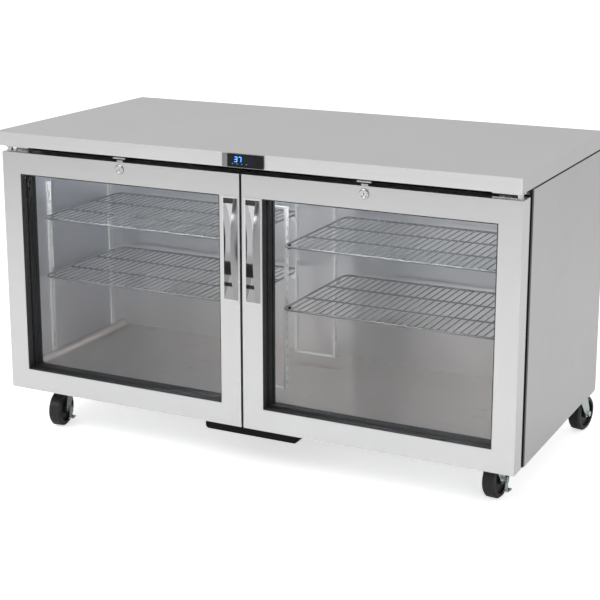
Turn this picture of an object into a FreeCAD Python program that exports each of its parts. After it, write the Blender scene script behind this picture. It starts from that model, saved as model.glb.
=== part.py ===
"""Two-door reach-in refrigerator for a work line: glass swing doors, wire shelves, rear cooling unit.

Millimetres. X runs to the right along the worktop, the doors face -Y, Z is up and the floor is Z = 0.
The origin is the middle of the overall box, on the floor.
"""
import FreeCAD, Part
import math
import os

os.makedirs("parts", exist_ok=True)
Vec = FreeCAD.Vector

# ---- worktop and cabinet ----
worktop_length = 1534.0
worktop_depth = 766.0
overall_height = 883.0
worktop_edge = 38.0            # height of the turned-down edge
worktop_sheet = 2.0
side_inset = 3.6               # side panels sit inside the worktop edge
side_sheet = 1.2
side_top_gap = 7.0             # shadow gap under the worktop edge
base_sheet = 2.0
side_wall = 50.0               # insulated wall, outside to inside
ceiling_wall = 36.0
floor_wall = 58.0
rear_wall = 45.0
machine_depth = 165.2          # rear space that holds the cooling unit
liner_sheet = 1.2
frame_thickness = 11.0         # black front frame around the cabinet opening
frame_return = 4.0             # how far the front frame stands past the liner
mullion_width = 120.0

# ---- doors ----
door_setback = 27.4            # worktop edge to door face
door_thickness = 54.6
door_bottom_gap = 2.0
door_top_gap = 22.0            # dark gap between door and worktop edge
door_gap = 7.0                 # between the two doors
door_side_gap = 1.4            # door edge to side panel, seen from the front
door_sheet = 1.2
rail_width = 60.0
stile_width = 59.5
glass_thickness = 4.0
glass_groove = 9.0             # depth of the glazing groove in the reveal
glass_clearance = 1.4          # back of the handle shell to the outer pane
pane_gap = 14.0
gasket_thickness = 12.5
gasket_width = 18.0
gasket_inset = 16.0            # door edge to gasket
running_gap = 0.3

# ---- handles ----
handle_height = 284.5
handle_width = 48.3
handle_flange = 1.5
handle_shell = 1.6
pocket_width = 34.0
pocket_depth = 21.0
blade_bow = 18.0
blade_thickness = 3.0
blade_overhang = 4.0           # free edge of the blade over the pocket
handle_top_drop = 61.0         # door top to handle top
handle_gap_left = 3.3          # meeting edge of the left door to its handle
handle_gap_right = 7.1

# ---- hinges ----
pivot_from_edge = 14.0
pivot_from_face = 19.6
pin_radius = 4.0
pin_fit = 0.05
leaf_thickness = 3.0
knuckle_radius = 8.0
leaf_length = 76.0

# ---- locks ----
lock_drop = 20.0               # door top to lock centre
lock_left_x = -371.0
lock_right_x = 351.0
barrel_radius = 11.0
barrel_rim = 13.0
barrel_rim_height = 2.5
barrel_length = 22.0
plug_radius = 6.5
plug_fit = 0.05
bolt_width = 19.0
bolt_thickness = 4.0
bolt_show = 5.0                # bolt height above the door when withdrawn
bolt_throw = 8.0
strike_width = 39.0
strike_thickness = 4.0

# ---- display on the worktop edge ----
display_width = 121.0
display_centre_x = 23.5
display_height = 35.0
display_proud = 4.0
display_body = 14.0
display_cap_width = 17.0
display_window_width = 79.0
display_window_height = 27.0
window_recess = 0.8            # bezel face to the dark window
window_sheet = 2.0

# ---- interior fittings ----
shelf_front_gap = 14.0
shelf_rear_gap = 25.0
lower_shelf_rise = 259.0       # interior floor to the lower shelf
upper_shelf_drop = 192.0       # ceiling to the upper shelf
shelf_end_gap = 6.0
shelf_centre_gap = 140.0
rim_rod = 6.0
shelf_wire = 3.2
shelf_wire_pitch = 25.4
pilaster_width = 16.0
pilaster_depth = 5.0
pilaster_sheet = 1.5
slot_pitch = 25.4
slot_width = 6.0
slot_height = 12.0
clip_height = 14.0
cove_height = 20.0

# ---- cooling unit ----
evaporator_length = 620.0
evaporator_height = 74.0
evaporator_reach = 150.0
compressor_radius = 82.0
compressor_height = 170.0
condenser_width = 300.0
condenser_height = 260.0
condenser_depth = 62.0
tube_radius = 5.0
grille_sheet = 1.2

# ---- base pan ----
pan_width = 282.0
pan_centre_x = 5.0
pan_height = 34.0
pan_setback = 65.0
pan_depth = 420.0
pan_corner = 11.0

# ---- casters ----
wheel_radius = 50.8
wheel_width = 36.0
tyre_edge = 5.0
axle_radius = 5.0
axle_fit = 0.05
trail = 33.0
fork_plate = 2.5
fork_clear = 2.0
fork_head_radius = 27.0
fork_head = 16.9
swivel_gap = 1.5
caster_plate = 4.0
caster_plate_x = 92.0
caster_plate_y = 76.0
kingpin_radius = 7.0
caster_front_side = 101.4      # side panel to front swivels
caster_rear_side = 44.4        # side panel to rear swivels
caster_front_inset = 147.0     # worktop front to front swivels
caster_rear_inset = 37.0       # worktop back to rear swivels
headings = {"front_left": -80.0, "front_right": 84.0, "rear_left": 95.0, "rear_right": 80.0}

# ---- places that follow from the sizes ----
half_length = worktop_length / 2
rear_angle = math.radians(90.0 - headings["rear_right"])
tyre_reach = (wheel_width / 2 - tyre_edge) * math.sin(rear_angle)
wheel_reach = (trail + wheel_radius) * math.cos(rear_angle) + tyre_reach
rear_overhang = max(0.0, wheel_reach - caster_rear_inset)
front = -(worktop_depth + display_proud + rear_overhang) / 2 + display_proud
back = front + worktop_depth
edge_bottom = overall_height - worktop_edge
cabinet_bottom = wheel_radius * 2 + fork_clear * 1.5 + fork_head + swivel_gap + caster_plate
cabinet_x = half_length - side_inset
cabinet_top = edge_bottom - side_top_gap
door_face = front + door_setback
door_back = door_face + door_thickness
door_bottom = cabinet_bottom + door_bottom_gap
door_top = edge_bottom - door_top_gap
door_outer = cabinet_x - door_side_gap
door_inner = door_gap / 2
opening_x0 = door_inner + stile_width
opening_x1 = door_outer - rail_width
opening_z0 = door_bottom + rail_width
opening_z1 = door_top - rail_width
frame_face = door_back + gasket_thickness + running_gap
frame_back = frame_face + frame_thickness
inner_x = cabinet_x - side_wall
inner_top = edge_bottom - ceiling_wall
inner_bottom = cabinet_bottom + floor_wall
cabinet_back = back - base_sheet * 2
unit_front = cabinet_back - machine_depth
inner_back = unit_front - rear_wall
shelf_depth = inner_back - frame_back - shelf_front_gap - shelf_rear_gap
shelf_heights = (inner_bottom + lower_shelf_rise, inner_top - upper_shelf_drop)
glass_front_depth = pocket_depth + handle_shell + glass_clearance
caster_front_x = cabinet_x - caster_front_side
caster_rear_x = cabinet_x - caster_rear_side
pivot_x = door_outer - pivot_from_edge
pivot_y = door_face + pivot_from_face
mullion_x = mullion_width / 2


def box(x0, x1, y0, y1, z0, z1):
    """Box between two values on each axis, in either order."""
    low = Vec(min(x0, x1), min(y0, y1), min(z0, z1))
    return Part.makeBox(abs(x1 - x0), abs(y1 - y0), abs(z1 - z0), low)


def rod(radius, start, axis, length):
    """Cylinder from a point along an axis."""
    return Part.makeCylinder(radius, length, Vec(*start), Vec(*axis))


def join(shapes):
    """One solid out of touching or overlapping shapes."""
    return shapes[0].fuse(shapes[1:]).removeSplitter()


def mirror_x(shape):
    """The same shape on the other side of the middle."""
    return shape.mirror(Vec(0, 0, 0), Vec(1, 0, 0))


def export(node, shapes):
    """Write one node: a solid, or a group of separate solids."""
    shapes = shapes if isinstance(shapes, list) else [shapes]
    solids = [solid for shape in shapes for solid in shape.Solids]
    whole = solids[0] if len(solids) == 1 else Part.makeCompound(solids)
    whole.exportStep("parts/" + node + ".step")
    print(node, len(solids), "solids", round(sum(s.Volume for s in solids) / 1000), "cm3")


# ---------------------------------------------------------------- cabinet
def worktop():
    """Folded sheet: a flat top and four turned-down sides, cut out for the display."""
    outer = box(-half_length, half_length, front, back, edge_bottom, overall_height)
    inner = box(-half_length + worktop_sheet, half_length - worktop_sheet,
                front + worktop_sheet, back - worktop_sheet,
                edge_bottom, overall_height - worktop_sheet)
    vertical = [e for e in outer.Edges if abs(e.Vertexes[0].Z - e.Vertexes[-1].Z) > worktop_edge / 2]
    cutout = box(display_centre_x - display_width / 2 + display_proud,
                 display_centre_x + display_width / 2 - display_proud,
                 front - 1, front + worktop_sheet + 1,
                 display_mid() - display_window_height / 2 - 1, display_mid() + display_window_height / 2 + 1)
    return outer.makeFillet(worktop_sheet, vertical).cut(inner).cut(cutout)


def display_mid():
    """Height of the display's middle on the worktop edge."""
    return edge_bottom + worktop_edge / 2


def side_panels():
    """Left and right outer sheets."""
    right = box(cabinet_x - side_sheet, cabinet_x, frame_back, cabinet_back, cabinet_bottom, cabinet_top)
    return [right, mirror_x(right)]


def base_plate():
    """Floor sheet of the cabinet that carries the walls, the cooling unit and the casters."""
    return box(-cabinet_x + side_sheet, cabinet_x - side_sheet, frame_face, cabinet_back,
               cabinet_bottom, cabinet_bottom + base_sheet)


def foam_insulation():
    """Foam slabs behind the liner: two sides, rear, ceiling and floor."""
    x1 = cabinet_x - side_sheet
    x0 = inner_x + liner_sheet
    z0 = inner_bottom - liner_sheet
    z1 = inner_top + liner_sheet
    y1 = inner_back + liner_sheet
    bottom = cabinet_bottom + base_sheet
    side = box(x0, x1, frame_back, unit_front, z0, z1)
    rear = box(-x0, x0, y1, unit_front, z0, z1)
    ceiling = box(-x1, x1, frame_back, unit_front, z1, overall_height - worktop_sheet)
    floor = box(-x1, x1, frame_back, unit_front, bottom, z0)
    return [side, mirror_x(side), rear, ceiling, floor]


def liner_walls():
    """Side, rear and ceiling sheets of the interior."""
    side = box(inner_x, inner_x + liner_sheet, frame_back, inner_back + liner_sheet, inner_bottom, inner_top)
    rear = box(-inner_x, inner_x, inner_back, inner_back + liner_sheet, inner_bottom, inner_top)
    ceiling = box(-inner_x - liner_sheet, inner_x + liner_sheet, frame_back, inner_back + liner_sheet,
                  inner_top, inner_top + liner_sheet)
    return [side, mirror_x(side), rear, ceiling]


def liner_floor():
    """Interior floor sheet with coved edges at the two sides."""
    flat = box(-inner_x - liner_sheet, inner_x + liner_sheet, frame_back, inner_back + liner_sheet,
               inner_bottom - liner_sheet, inner_bottom)
    length = inner_back - frame_back
    corner = box(inner_x - cove_height, inner_x, frame_back, inner_back, inner_bottom, inner_bottom + cove_height)
    hollow = rod(cove_height, (inner_x - cove_height, frame_back, inner_bottom + cove_height), (0, 1, 0), length)
    cove = corner.cut(hollow)
    return join([flat, cove, mirror_x(cove)])


def front_frame():
    """Black frame around the two openings, with the mullion between them."""
    edge = inner_x - frame_return
    low = inner_bottom - liner_sheet
    outer = box(-cabinet_x, cabinet_x, frame_face, frame_back, cabinet_bottom + base_sheet, edge_bottom)
    holes = []
    for side in (-1, 1):
        holes.append(box(side * mullion_x, side * edge, frame_face - 1, frame_back + 1,
                         low, inner_top - frame_return))
    return outer.cut(holes[0]).cut(holes[1])


def back_panel():
    """Rear sheet with a large service opening, hung below the worktop edge."""
    sheet = box(-cabinet_x, cabinet_x, cabinet_back, cabinet_back + base_sheet, cabinet_bottom, cabinet_top)
    margin = side_wall
    hole = box(-cabinet_x + margin, cabinet_x - margin, cabinet_back - 1, cabinet_back + base_sheet + 1,
               cabinet_bottom + margin, cabinet_top - margin)
    return sheet.cut(hole)


def rear_grille():
    """Removable grille over the service opening, slotted for air."""
    margin = side_wall - side_sheet * 10
    x1 = cabinet_x - margin
    z0 = cabinet_bottom + margin
    z1 = cabinet_top - margin
    y0 = cabinet_back + base_sheet
    plate = box(-x1, x1, y0, y0 + grille_sheet, z0, z1)
    slots = []
    slot = 8.0
    pitch = 24.0
    bays = 4
    bay = (x1 * 2 - margin * (bays + 1)) / bays
    rows = int((z1 - z0 - margin * 2) / pitch)
    for column in range(bays):
        left = -x1 + margin + column * (bay + margin)
        for row in range(rows):
            low = z0 + margin + row * pitch
            slots.append(box(left, left + bay, y0 - 1, y0 + grille_sheet + 1, low, low + slot))
    return plate.cut(Part.makeCompound(slots))


def base_pan():
    """Shallow closed tray with rounded lower corners, hung under the middle of the cabinet."""
    y0 = front + pan_setback
    x0 = pan_centre_x - pan_width / 2
    x1 = pan_centre_x + pan_width / 2
    low = cabinet_bottom - pan_height
    outer = box(x0, x1, y0, y0 + pan_depth, low, cabinet_bottom)
    rounded = [e for e in outer.Edges
               if abs(e.Vertexes[0].Y - e.Vertexes[-1].Y) > pan_depth / 2 and e.Vertexes[0].Z < low + 1]
    wall = pan_corner / 4
    outer = outer.makeFillet(pan_corner, rounded)
    inner = box(x0 + pan_corner, x1 - pan_corner, y0 + wall, y0 + pan_depth - wall,
                low + wall, cabinet_bottom - wall)
    return outer.cut(inner)


# ---------------------------------------------------------------- interior
def shelf_span():
    """Near and far X of a shelf on the right side."""
    return shelf_centre_gap / 2, inner_x - shelf_end_gap


def shelf(height):
    """Wire shelf of the right section: rim, cross rods and front-to-back wires, all welded."""
    x0, x1 = shelf_span()
    y0 = frame_back + shelf_front_gap
    y1 = y0 + shelf_depth
    half = rim_rod / 2
    top = height + half
    low = height - half
    bars = []
    for y in (y0, y1 - rim_rod):
        bars.append(box(x0, x1, y, y + rim_rod, low, top))
    for x in (x0, x1 - rim_rod):
        bars.append(box(x, x + rim_rod, y0, y1, low, top))
    for share in (1, 2):
        y = y0 + share * shelf_depth / 3
        bars.append(box(x0, x1, y - half, y + half, low, height))
    count = int((x1 - x0 - rim_rod) / shelf_wire_pitch)
    pitch = (x1 - x0 - rim_rod) / (count + 1)
    for index in range(count):
        x = x0 + half + (index + 1) * pitch
        bars.append(box(x - shelf_wire / 2, x + shelf_wire / 2, y0, y1, height - shelf_wire / 2, top))
    return join(bars)


def pilaster_spots():
    """X of the mounting side, outward direction and Y of each shelf standard on the right side."""
    near = frame_back + shelf_front_gap + rim_rod * 8
    far = frame_back + shelf_front_gap + shelf_depth - rim_rod * 8
    spots = []
    for y in (near, far):
        spots.append((inner_x, -1, y))
        spots.append((mullion_x, 1, y))
    return spots


def pilaster(face, toward, y):
    """Slotted channel that carries the shelf clips."""
    z0 = inner_bottom + cove_height
    z1 = inner_top - evaporator_height - cove_height
    outer = box(face, face + toward * pilaster_depth, y - pilaster_width / 2, y + pilaster_width / 2, z0, z1)
    inner = box(face, face + toward * (pilaster_depth - pilaster_sheet),
                y - pilaster_width / 2 + pilaster_sheet, y + pilaster_width / 2 - pilaster_sheet, z0, z1)
    count = int((z1 - z0 - slot_pitch) / slot_pitch)
    slots = []
    for index in range(count):
        low = z0 + slot_pitch / 2 + index * slot_pitch
        slots.append(box(face + toward * pilaster_depth / 2, face + toward * (pilaster_depth + 1),
                         y - slot_width / 2, y + slot_width / 2, low, low + slot_height))
    return outer.cut(inner).cut(Part.makeCompound(slots))


def shelf_pilasters():
    """Eight standards: four on the side walls and four on the centre post sheets."""
    pieces = [pilaster(*spot) for spot in pilaster_spots()]
    post = box(-mullion_x, mullion_x, pilaster_spots()[0][2] - pilaster_width / 2,
               pilaster_spots()[0][2] + pilaster_width / 2, inner_bottom + cove_height,
               inner_top - evaporator_height - cove_height)
    core = box(-mullion_x + pilaster_sheet, mullion_x - pilaster_sheet,
               pilaster_spots()[0][2] - pilaster_width, pilaster_spots()[0][2] + pilaster_width,
               inner_bottom + cove_height + pilaster_sheet,
               inner_top - evaporator_height - cove_height - pilaster_sheet)
    near_post = post.cut(core)
    far_post = near_post.translated(Vec(0, pilaster_spots()[2][2] - pilaster_spots()[0][2], 0))
    return pieces + [mirror_x(piece) for piece in pieces] + [near_post, far_post]


def shelf_clips():
    """Clips hooked into the standards, one under each corner of each shelf."""
    clips = []
    for face, toward, y in pilaster_spots():
        x0 = face + toward * pilaster_depth
        for height in shelf_heights:
            top = height - rim_rod / 2
            clip = box(x0, x0 + toward * rim_rod * 2, y - slot_width / 2, y + slot_width / 2, top - clip_height, top)
            clips += [clip, mirror_x(clip)]
    return clips


def light_bars():
    """Two slim lamp housings under the ceiling, one behind the top of each door."""
    lamp = box(mullion_x + frame_return, inner_x - side_wall, frame_back + frame_return,
               frame_back + frame_return + cove_height, inner_top - cove_height / 2, inner_top)
    return [lamp, mirror_x(lamp)]


def evaporator_cover():
    """Open-ended aluminium duct under the ceiling at the rear, with two fan holes in its front."""
    x1 = evaporator_length / 2
    y0 = inner_back - evaporator_reach
    low = inner_top - evaporator_height
    sheet = box(-x1, x1, y0, inner_back, low, inner_top)
    inside = box(-x1 - 1, x1 + 1, y0 + pilaster_sheet, inner_back + 1, low + pilaster_sheet, inner_top + 1)
    shell = sheet.cut(inside)
    radius = evaporator_fan_radius() + frame_return / 2
    return shell.cut(rod(radius, (0, y0 - 1, fan_height()), (0, 1, 0), pilaster_sheet + 2))


def evaporator_fan_radius():
    """Blade radius of the interior fan, as large as the duct takes."""
    return evaporator_height / 2 - frame_return * 2


def fan_height():
    """Height of the interior fan's axis."""
    return inner_top - evaporator_height / 2


def fin_block(x0, x1, y0, y1, z0, z1, pitch, gauge):
    """Coil: two end plates, fins between them and the tubes that run through, fused."""
    pieces = []
    count = int((x1 - x0) / pitch)
    step = (x1 - x0 - gauge) / count
    for index in range(count + 1):
        x = x0 + index * step
        pieces.append(box(x, x + gauge, y0, y1, z0, z1))
    rows = max(2, int((z1 - z0) / 40))
    spacing = (z1 - z0) / rows
    side = tube_radius * 1.6
    for row in range(rows):
        for y in (y0 + (y1 - y0) * 0.3, y0 + (y1 - y0) * 0.7):
            z = z0 + (row + 0.5) * spacing
            pieces.append(box(x0, x1, y - side / 2, y + side / 2, z - side / 2, z + side / 2))
    return join(pieces)


def evaporator_coil():
    """Finned coil inside the duct, behind the fan."""
    x1 = evaporator_length / 2 - cove_height
    return fin_block(-x1, x1, inner_back - evaporator_reach * 0.5, inner_back - frame_return,
                     inner_top - evaporator_height + cove_height / 2, inner_top - cove_height / 2, 20.0, 2.0)


def fan_blades(radius, depth, count):
    """Fan rotor about +Y at the origin: hub with pitched blades, bored for its shaft."""
    hub_radius = radius * 0.3
    hub = rod(hub_radius, (0, 0, 0), (0, 1, 0), depth)
    pieces = [hub]
    for index in range(count):
        blade = box(hub_radius * 0.8, radius, depth * 0.42, depth * 0.58, -radius * 0.26, radius * 0.26)
        blade.rotate(Vec(0, depth / 2, 0), Vec(1, 0, 0), 28)
        blade.rotate(Vec(0, 0, 0), Vec(0, 1, 0), index * 360.0 / count)
        pieces.append(blade)
    trim = rod(radius, (0, -depth, 0), (0, 1, 0), depth * 3)
    bore = rod(shaft_radius + pin_fit, (0, -1, 0), (0, 1, 0), depth * 0.8 + 1)
    return join(pieces).common(trim).cut(bore)


shaft_radius = 3.0
rotor_depth = 16.0


def evaporator_rotor_y():
    """Back face of the interior fan's rotor."""
    return inner_back - evaporator_reach + frame_return


def condenser_layout():
    """Left X, rear Y and bottom Z of the condenser in the machine space."""
    return -inner_x + side_wall, cabinet_back - frame_return * 3, cabinet_bottom + base_sheet


def condenser_fan_centre():
    """Centre of the condenser fan's rotor."""
    x0, y1, z0 = condenser_layout()
    return Vec(x0 + condenser_width / 2, y1 - condenser_depth - rotor_depth * 2, z0 + condenser_height / 2)


def evaporator_fan():
    """Interior fan rotor."""
    rotor = fan_blades(evaporator_fan_radius(), rotor_depth, 5)
    rotor.rotate(Vec(0, 0, 0), Vec(0, 0, 1), 180)
    return rotor.translated(Vec(0, evaporator_rotor_y() + rotor_depth, fan_height()))


def condenser_fan():
    """Condenser fan rotor."""
    rotor = fan_blades(condenser_height / 2 - frame_return * 5, rotor_depth, 5)
    centre = condenser_fan_centre()
    return rotor.translated(Vec(centre.x, centre.y - rotor_depth / 2, centre.z))


def fan_motors():
    """Two small motors with shafts, each on a strap."""
    pieces = []
    y0 = evaporator_rotor_y() + rotor_depth + frame_return / 2
    z = fan_height()
    body = rod(evaporator_fan_radius() * 0.6, (0, y0, z), (0, 1, 0), 34)
    shaft = rod(shaft_radius, (0, y0 - rotor_depth * 0.7, z), (0, 1, 0), rotor_depth)
    strap = box(-pilaster_width, pilaster_width, y0 + 10, y0 + 16, z, inner_top)
    pieces.append(join([body, shaft, strap]))
    centre = condenser_fan_centre()
    y1 = centre.y - rotor_depth - frame_return
    body = rod(24.0, (centre.x, y1 - 26, centre.z), (0, 1, 0), 26)
    foot = box(centre.x - 14, centre.x + 14, y1 - 20, y1 - 12, cabinet_bottom + base_sheet, centre.z)
    shaft = rod(shaft_radius, (centre.x, y1 - 2, centre.z), (0, 1, 0), centre.y - y1 + 4)
    pieces.append(join([body, shaft, foot]))
    return pieces


def condenser_coil():
    """Finned condenser at the rear, in front of the grille."""
    x0, y1, z0 = condenser_layout()
    return fin_block(x0, x0 + condenser_width, y1 - condenser_depth, y1, z0, z0 + condenser_height, 12.0, 1.6)


def condenser_shroud():
    """Square sheet ring that guides the air from the coil to the fan."""
    x0, y1, z0 = condenser_layout()
    y0 = y1 - condenser_depth
    depth = rotor_depth * 3
    outer = box(x0, x0 + condenser_width, y0 - depth, y0, z0, z0 + condenser_height)
    inner = box(x0 + side_sheet, x0 + condenser_width - side_sheet, y0 - depth - 1, y0 + 1,
                z0 + side_sheet, z0 + condenser_height - side_sheet)
    slot = box(x0 + condenser_width / 2 - 20, x0 + condenser_width / 2 + 20, y0 - depth - 1,
               y0 - rotor_depth * 2.4, z0 - 1, z0 + condenser_height / 3)
    return outer.cut(inner).cut(slot)


def compressor_centre():
    """Floor point under the compressor."""
    return Vec(inner_x / 3, (unit_front + cabinet_back) / 2, cabinet_bottom + base_sheet)


def shell_radius():
    """Radius of the compressor's shell, as large as the machine space takes."""
    return min(compressor_radius, machine_depth / 2 - frame_return)


def compressor():
    """Hermetic shell: a short cylinder with domed ends on four feet."""
    spot = compressor_centre()
    radius = shell_radius()
    foot_height = 14.0
    dome = radius * 0.45
    low = foot_height
    z1 = low + dome
    z2 = low + compressor_height - dome
    z3 = low + compressor_height
    lean = math.sqrt(0.5)
    edges = [
        Part.LineSegment(Vec(0, 0, low), Vec(radius * 0.4, 0, low)).toShape(),
        Part.Arc(Vec(radius * 0.4, 0, low), Vec(radius * (0.4 + 0.6 * lean), 0, low + dome * (1 - lean)),
                 Vec(radius, 0, z1)).toShape(),
        Part.LineSegment(Vec(radius, 0, z1), Vec(radius, 0, z2)).toShape(),
        Part.Arc(Vec(radius, 0, z2), Vec(radius * (0.4 + 0.6 * lean), 0, z3 - dome * (1 - lean)),
                 Vec(radius * 0.4, 0, z3)).toShape(),
        Part.LineSegment(Vec(radius * 0.4, 0, z3), Vec(0, 0, z3)).toShape(),
        Part.LineSegment(Vec(0, 0, z3), Vec(0, 0, low)).toShape(),
    ]
    shell = Part.Face(Part.Wire(edges)).revolve(Vec(0, 0, 0), Vec(0, 0, 1), 360)
    pieces = [shell]
    reach = radius * 0.62
    for x in (-reach, reach):
        for y in (-reach, reach):
            pieces.append(rod(10.0, (x, y, 0), (0, 0, 1), low + dome))
    return join(pieces).translated(spot)


def tube_run(points, radius):
    """Square-cornered tube through points, built from overlapping straight runs and ball corners."""
    pieces = []
    for start, end in zip(points[:-1], points[1:]):
        step = end - start
        pieces.append(Part.makeCylinder(radius, step.Length, start, step))
    for corner in points[1:-1]:
        pieces.append(Part.makeSphere(radius, corner))
    return join(pieces)


def refrigerant_lines():
    """Discharge, liquid and suction tubes, with the filter drier in the liquid line."""
    spot = compressor_centre()
    x0, y1, z0 = condenser_layout()
    radius = shell_radius()
    coil_side = x0 + condenser_width
    top = z0 + condenser_height * 0.8
    left = spot.x - radius
    gap = 0.2
    mid = (left + coil_side) / 2
    depth = y1 - condenser_depth / 2
    discharge = tube_run([Vec(left - gap, spot.y, z0 + compressor_height * 0.6),
                          Vec(mid, spot.y, z0 + compressor_height * 0.6),
                          Vec(mid, spot.y, top),
                          Vec(mid, depth, top),
                          Vec(coil_side + gap, depth, top)], tube_radius)
    low = z0 + condenser_height * 0.2
    hand = mid - radius
    liquid = tube_run([Vec(coil_side + gap, depth, low),
                       Vec(hand, depth, low),
                       Vec(hand, unit_front + tube_radius * 3, low),
                       Vec(hand, unit_front + tube_radius * 3, fan_height()),
                       Vec(hand, unit_front + gap, fan_height())], tube_radius)
    drier = rod(tube_radius * 3, (hand, unit_front + tube_radius * 3.4, low + compressor_height), (0, 0, 1),
                compressor_height * 0.6)
    right = spot.x + radius
    suction = tube_run([Vec(right + gap, spot.y, z0 + compressor_height * 0.6),
                        Vec(right + tube_radius * 8, spot.y, z0 + compressor_height * 0.6),
                        Vec(right + tube_radius * 8, spot.y, fan_height()),
                        Vec(right + tube_radius * 8, unit_front + gap, fan_height())], tube_radius)
    return [discharge, join([liquid, drier]), suction]


def electrical_box():
    """Control box on the base plate, with the supply cord's gland on its rear."""
    x1 = inner_x - side_wall
    z0 = cabinet_bottom + base_sheet
    y1 = cabinet_back - cove_height * 2
    body = box(x1 - 150, x1, y1 - 80, y1, z0, z0 + 120)
    gland = rod(12.0, (x1 - 40, y1, z0 + 40), (0, 1, 0), cove_height)
    bore = rod(5.0, (x1 - 40, y1 - 1, z0 + 40), (0, 1, 0), cove_height + 2)
    return join([body, gland]).cut(bore)


def condensate_pan():
    """Open evaporation tray on the base plate between the condenser and the compressor."""
    spot = compressor_centre()
    radius = shell_radius()
    x1 = spot.x + radius + tube_radius * 14
    z0 = cabinet_bottom + base_sheet
    y0 = unit_front + cove_height
    y1 = cabinet_back - cove_height
    outer = box(x1, x1 + 90, y0, y1, z0, z0 + 40)
    return outer.cut(box(x1 + 2, x1 + 88, y0 + 2, y1 - 2, z0 + 2, z0 + 41))


# ---------------------------------------------------------------- display
def display_pieces():
    """Housing, dark window and end cap of the temperature display."""
    x0 = display_centre_x - display_width / 2
    x1 = display_centre_x + display_width / 2
    z0 = display_mid() - display_height / 2
    z1 = display_mid() + display_height / 2
    face = front - display_proud
    w0 = x0 + display_cap_width
    w1 = w0 + display_window_width
    v0 = display_mid() - display_window_height / 2
    v1 = display_mid() + display_window_height / 2
    bezel = box(w0, x1, face, front, z0, z1)
    inside = box(w0, x1 - display_proud, front, front + display_body, v0, v1)
    seat = face + window_recess
    recess = box(w0 + 1, w1, face - 1, seat + window_sheet, v0, v1)
    housing = join([bezel, inside]).cut(recess)
    window = box(w0 + 1, w1, seat, seat + window_sheet, v0, v1)
    cap = box(x0, w0, face, front, z0, z1)
    upright = [e for e in cap.Edges
               if abs(e.Vertexes[0].X - x0) < 0.01 and abs(e.Vertexes[-1].X - x0) < 0.01
               and abs(e.Vertexes[0].Y - face) < 0.01 and abs(e.Vertexes[-1].Y - face) < 0.01]
    return housing, window, cap.makeFillet(display_proud * 0.8, upright)


# ---------------------------------------------------------------- doors
def lock_seat(x, side):
    """Space in the door that the lock barrel and its bolt take up."""
    z = door_top - lock_drop
    seat = rod(barrel_radius, (x, door_face - 1, z), (0, 1, 0), barrel_length + 1)
    slide = box(x - bolt_width / 2 - running_gap, x + bolt_width / 2 + running_gap,
                bolt_y() - bolt_thickness / 2 - running_gap, bolt_y() + bolt_thickness / 2 + running_gap,
                z + barrel_radius - running_gap, door_top + 1)
    return [seat, slide]


def bolt_y():
    """Middle of the bolt's thickness."""
    return door_face + door_sheet + bolt_thickness / 2 + running_gap * 4


def handle_place(side):
    """Left and right X of the handle's flange; both doors carry it the same way round."""
    if side > 0:
        x0 = door_inner + handle_gap_right
        return x0, x0 + handle_width
    x1 = -(door_inner + handle_gap_left)
    return x1 - handle_width, x1


def handle_height_span():
    """Bottom and top Z of the handle."""
    z1 = door_top - handle_top_drop
    return z1 - handle_height, z1


def handle_seat(side):
    """Space in the stile that the handle's shell takes up."""
    x0, x1 = handle_place(side)
    z0, z1 = handle_height_span()
    rim = handle_shell
    return box(x0 + rim, x1 - rim, door_face - 1, door_face + pocket_depth + handle_shell, z0 + rim, z1 - rim)


def hinge_bush_seat(side):
    """Hole in the bottom of the door for the lower bush."""
    return rod(knuckle_radius, (side * pivot_x, pivot_y, door_bottom - 1), (0, 0, 1), knuckle_radius * 2 + 1)


def lock_x(side):
    """X of a door's lock."""
    return lock_right_x if side > 0 else lock_left_x


def door_skin(side):
    """Folded stainless face of a door with its four edges and the window cut out."""
    outer = box(side * door_inner, side * door_outer, door_face, door_back, door_bottom, door_top)
    inner = box(side * (door_inner + door_sheet), side * (door_outer - door_sheet),
                door_face + door_sheet, door_back + 1, door_bottom + door_sheet, door_top - door_sheet)
    window = box(side * opening_x0, side * opening_x1, door_face - 1, door_back, opening_z0, opening_z1)
    shape = outer.cut(inner).cut(window).cut(handle_seat(side)).cut(hinge_bush_seat(side))
    for seat in lock_seat(lock_x(side), side):
        shape = shape.cut(seat)
    return shape


def pane_depths():
    """Y of the front of each pane."""
    outer = door_face + glass_front_depth
    return outer, outer + glass_thickness + pane_gap


def door_reveal(side):
    """Black moulded frame inside the skin: window tunnel, glazing grooves and door back."""
    body = box(side * (door_inner + door_sheet), side * (door_outer - door_sheet),
               door_face + door_sheet, door_back, door_bottom + door_sheet, door_top - door_sheet)
    window = box(side * opening_x0, side * opening_x1, door_face - 1, door_back + 1, opening_z0, opening_z1)
    shape = body.cut(window)
    for y in pane_depths():
        shape = shape.cut(box(side * (opening_x0 - glass_groove), side * (opening_x1 + glass_groove),
                              y, y + glass_thickness, opening_z0 - glass_groove, opening_z1 + glass_groove))
    shape = shape.cut(handle_seat(side)).cut(hinge_bush_seat(side))
    for seat in lock_seat(lock_x(side), side):
        shape = shape.cut(seat)
    return shape


def door_glass(side):
    """Two panes held in the grooves of the reveal."""
    panes = []
    for y in pane_depths():
        panes.append(box(side * (opening_x0 - glass_groove), side * (opening_x1 + glass_groove),
                         y, y + glass_thickness, opening_z0 - glass_groove, opening_z1 + glass_groove))
    return panes


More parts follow.
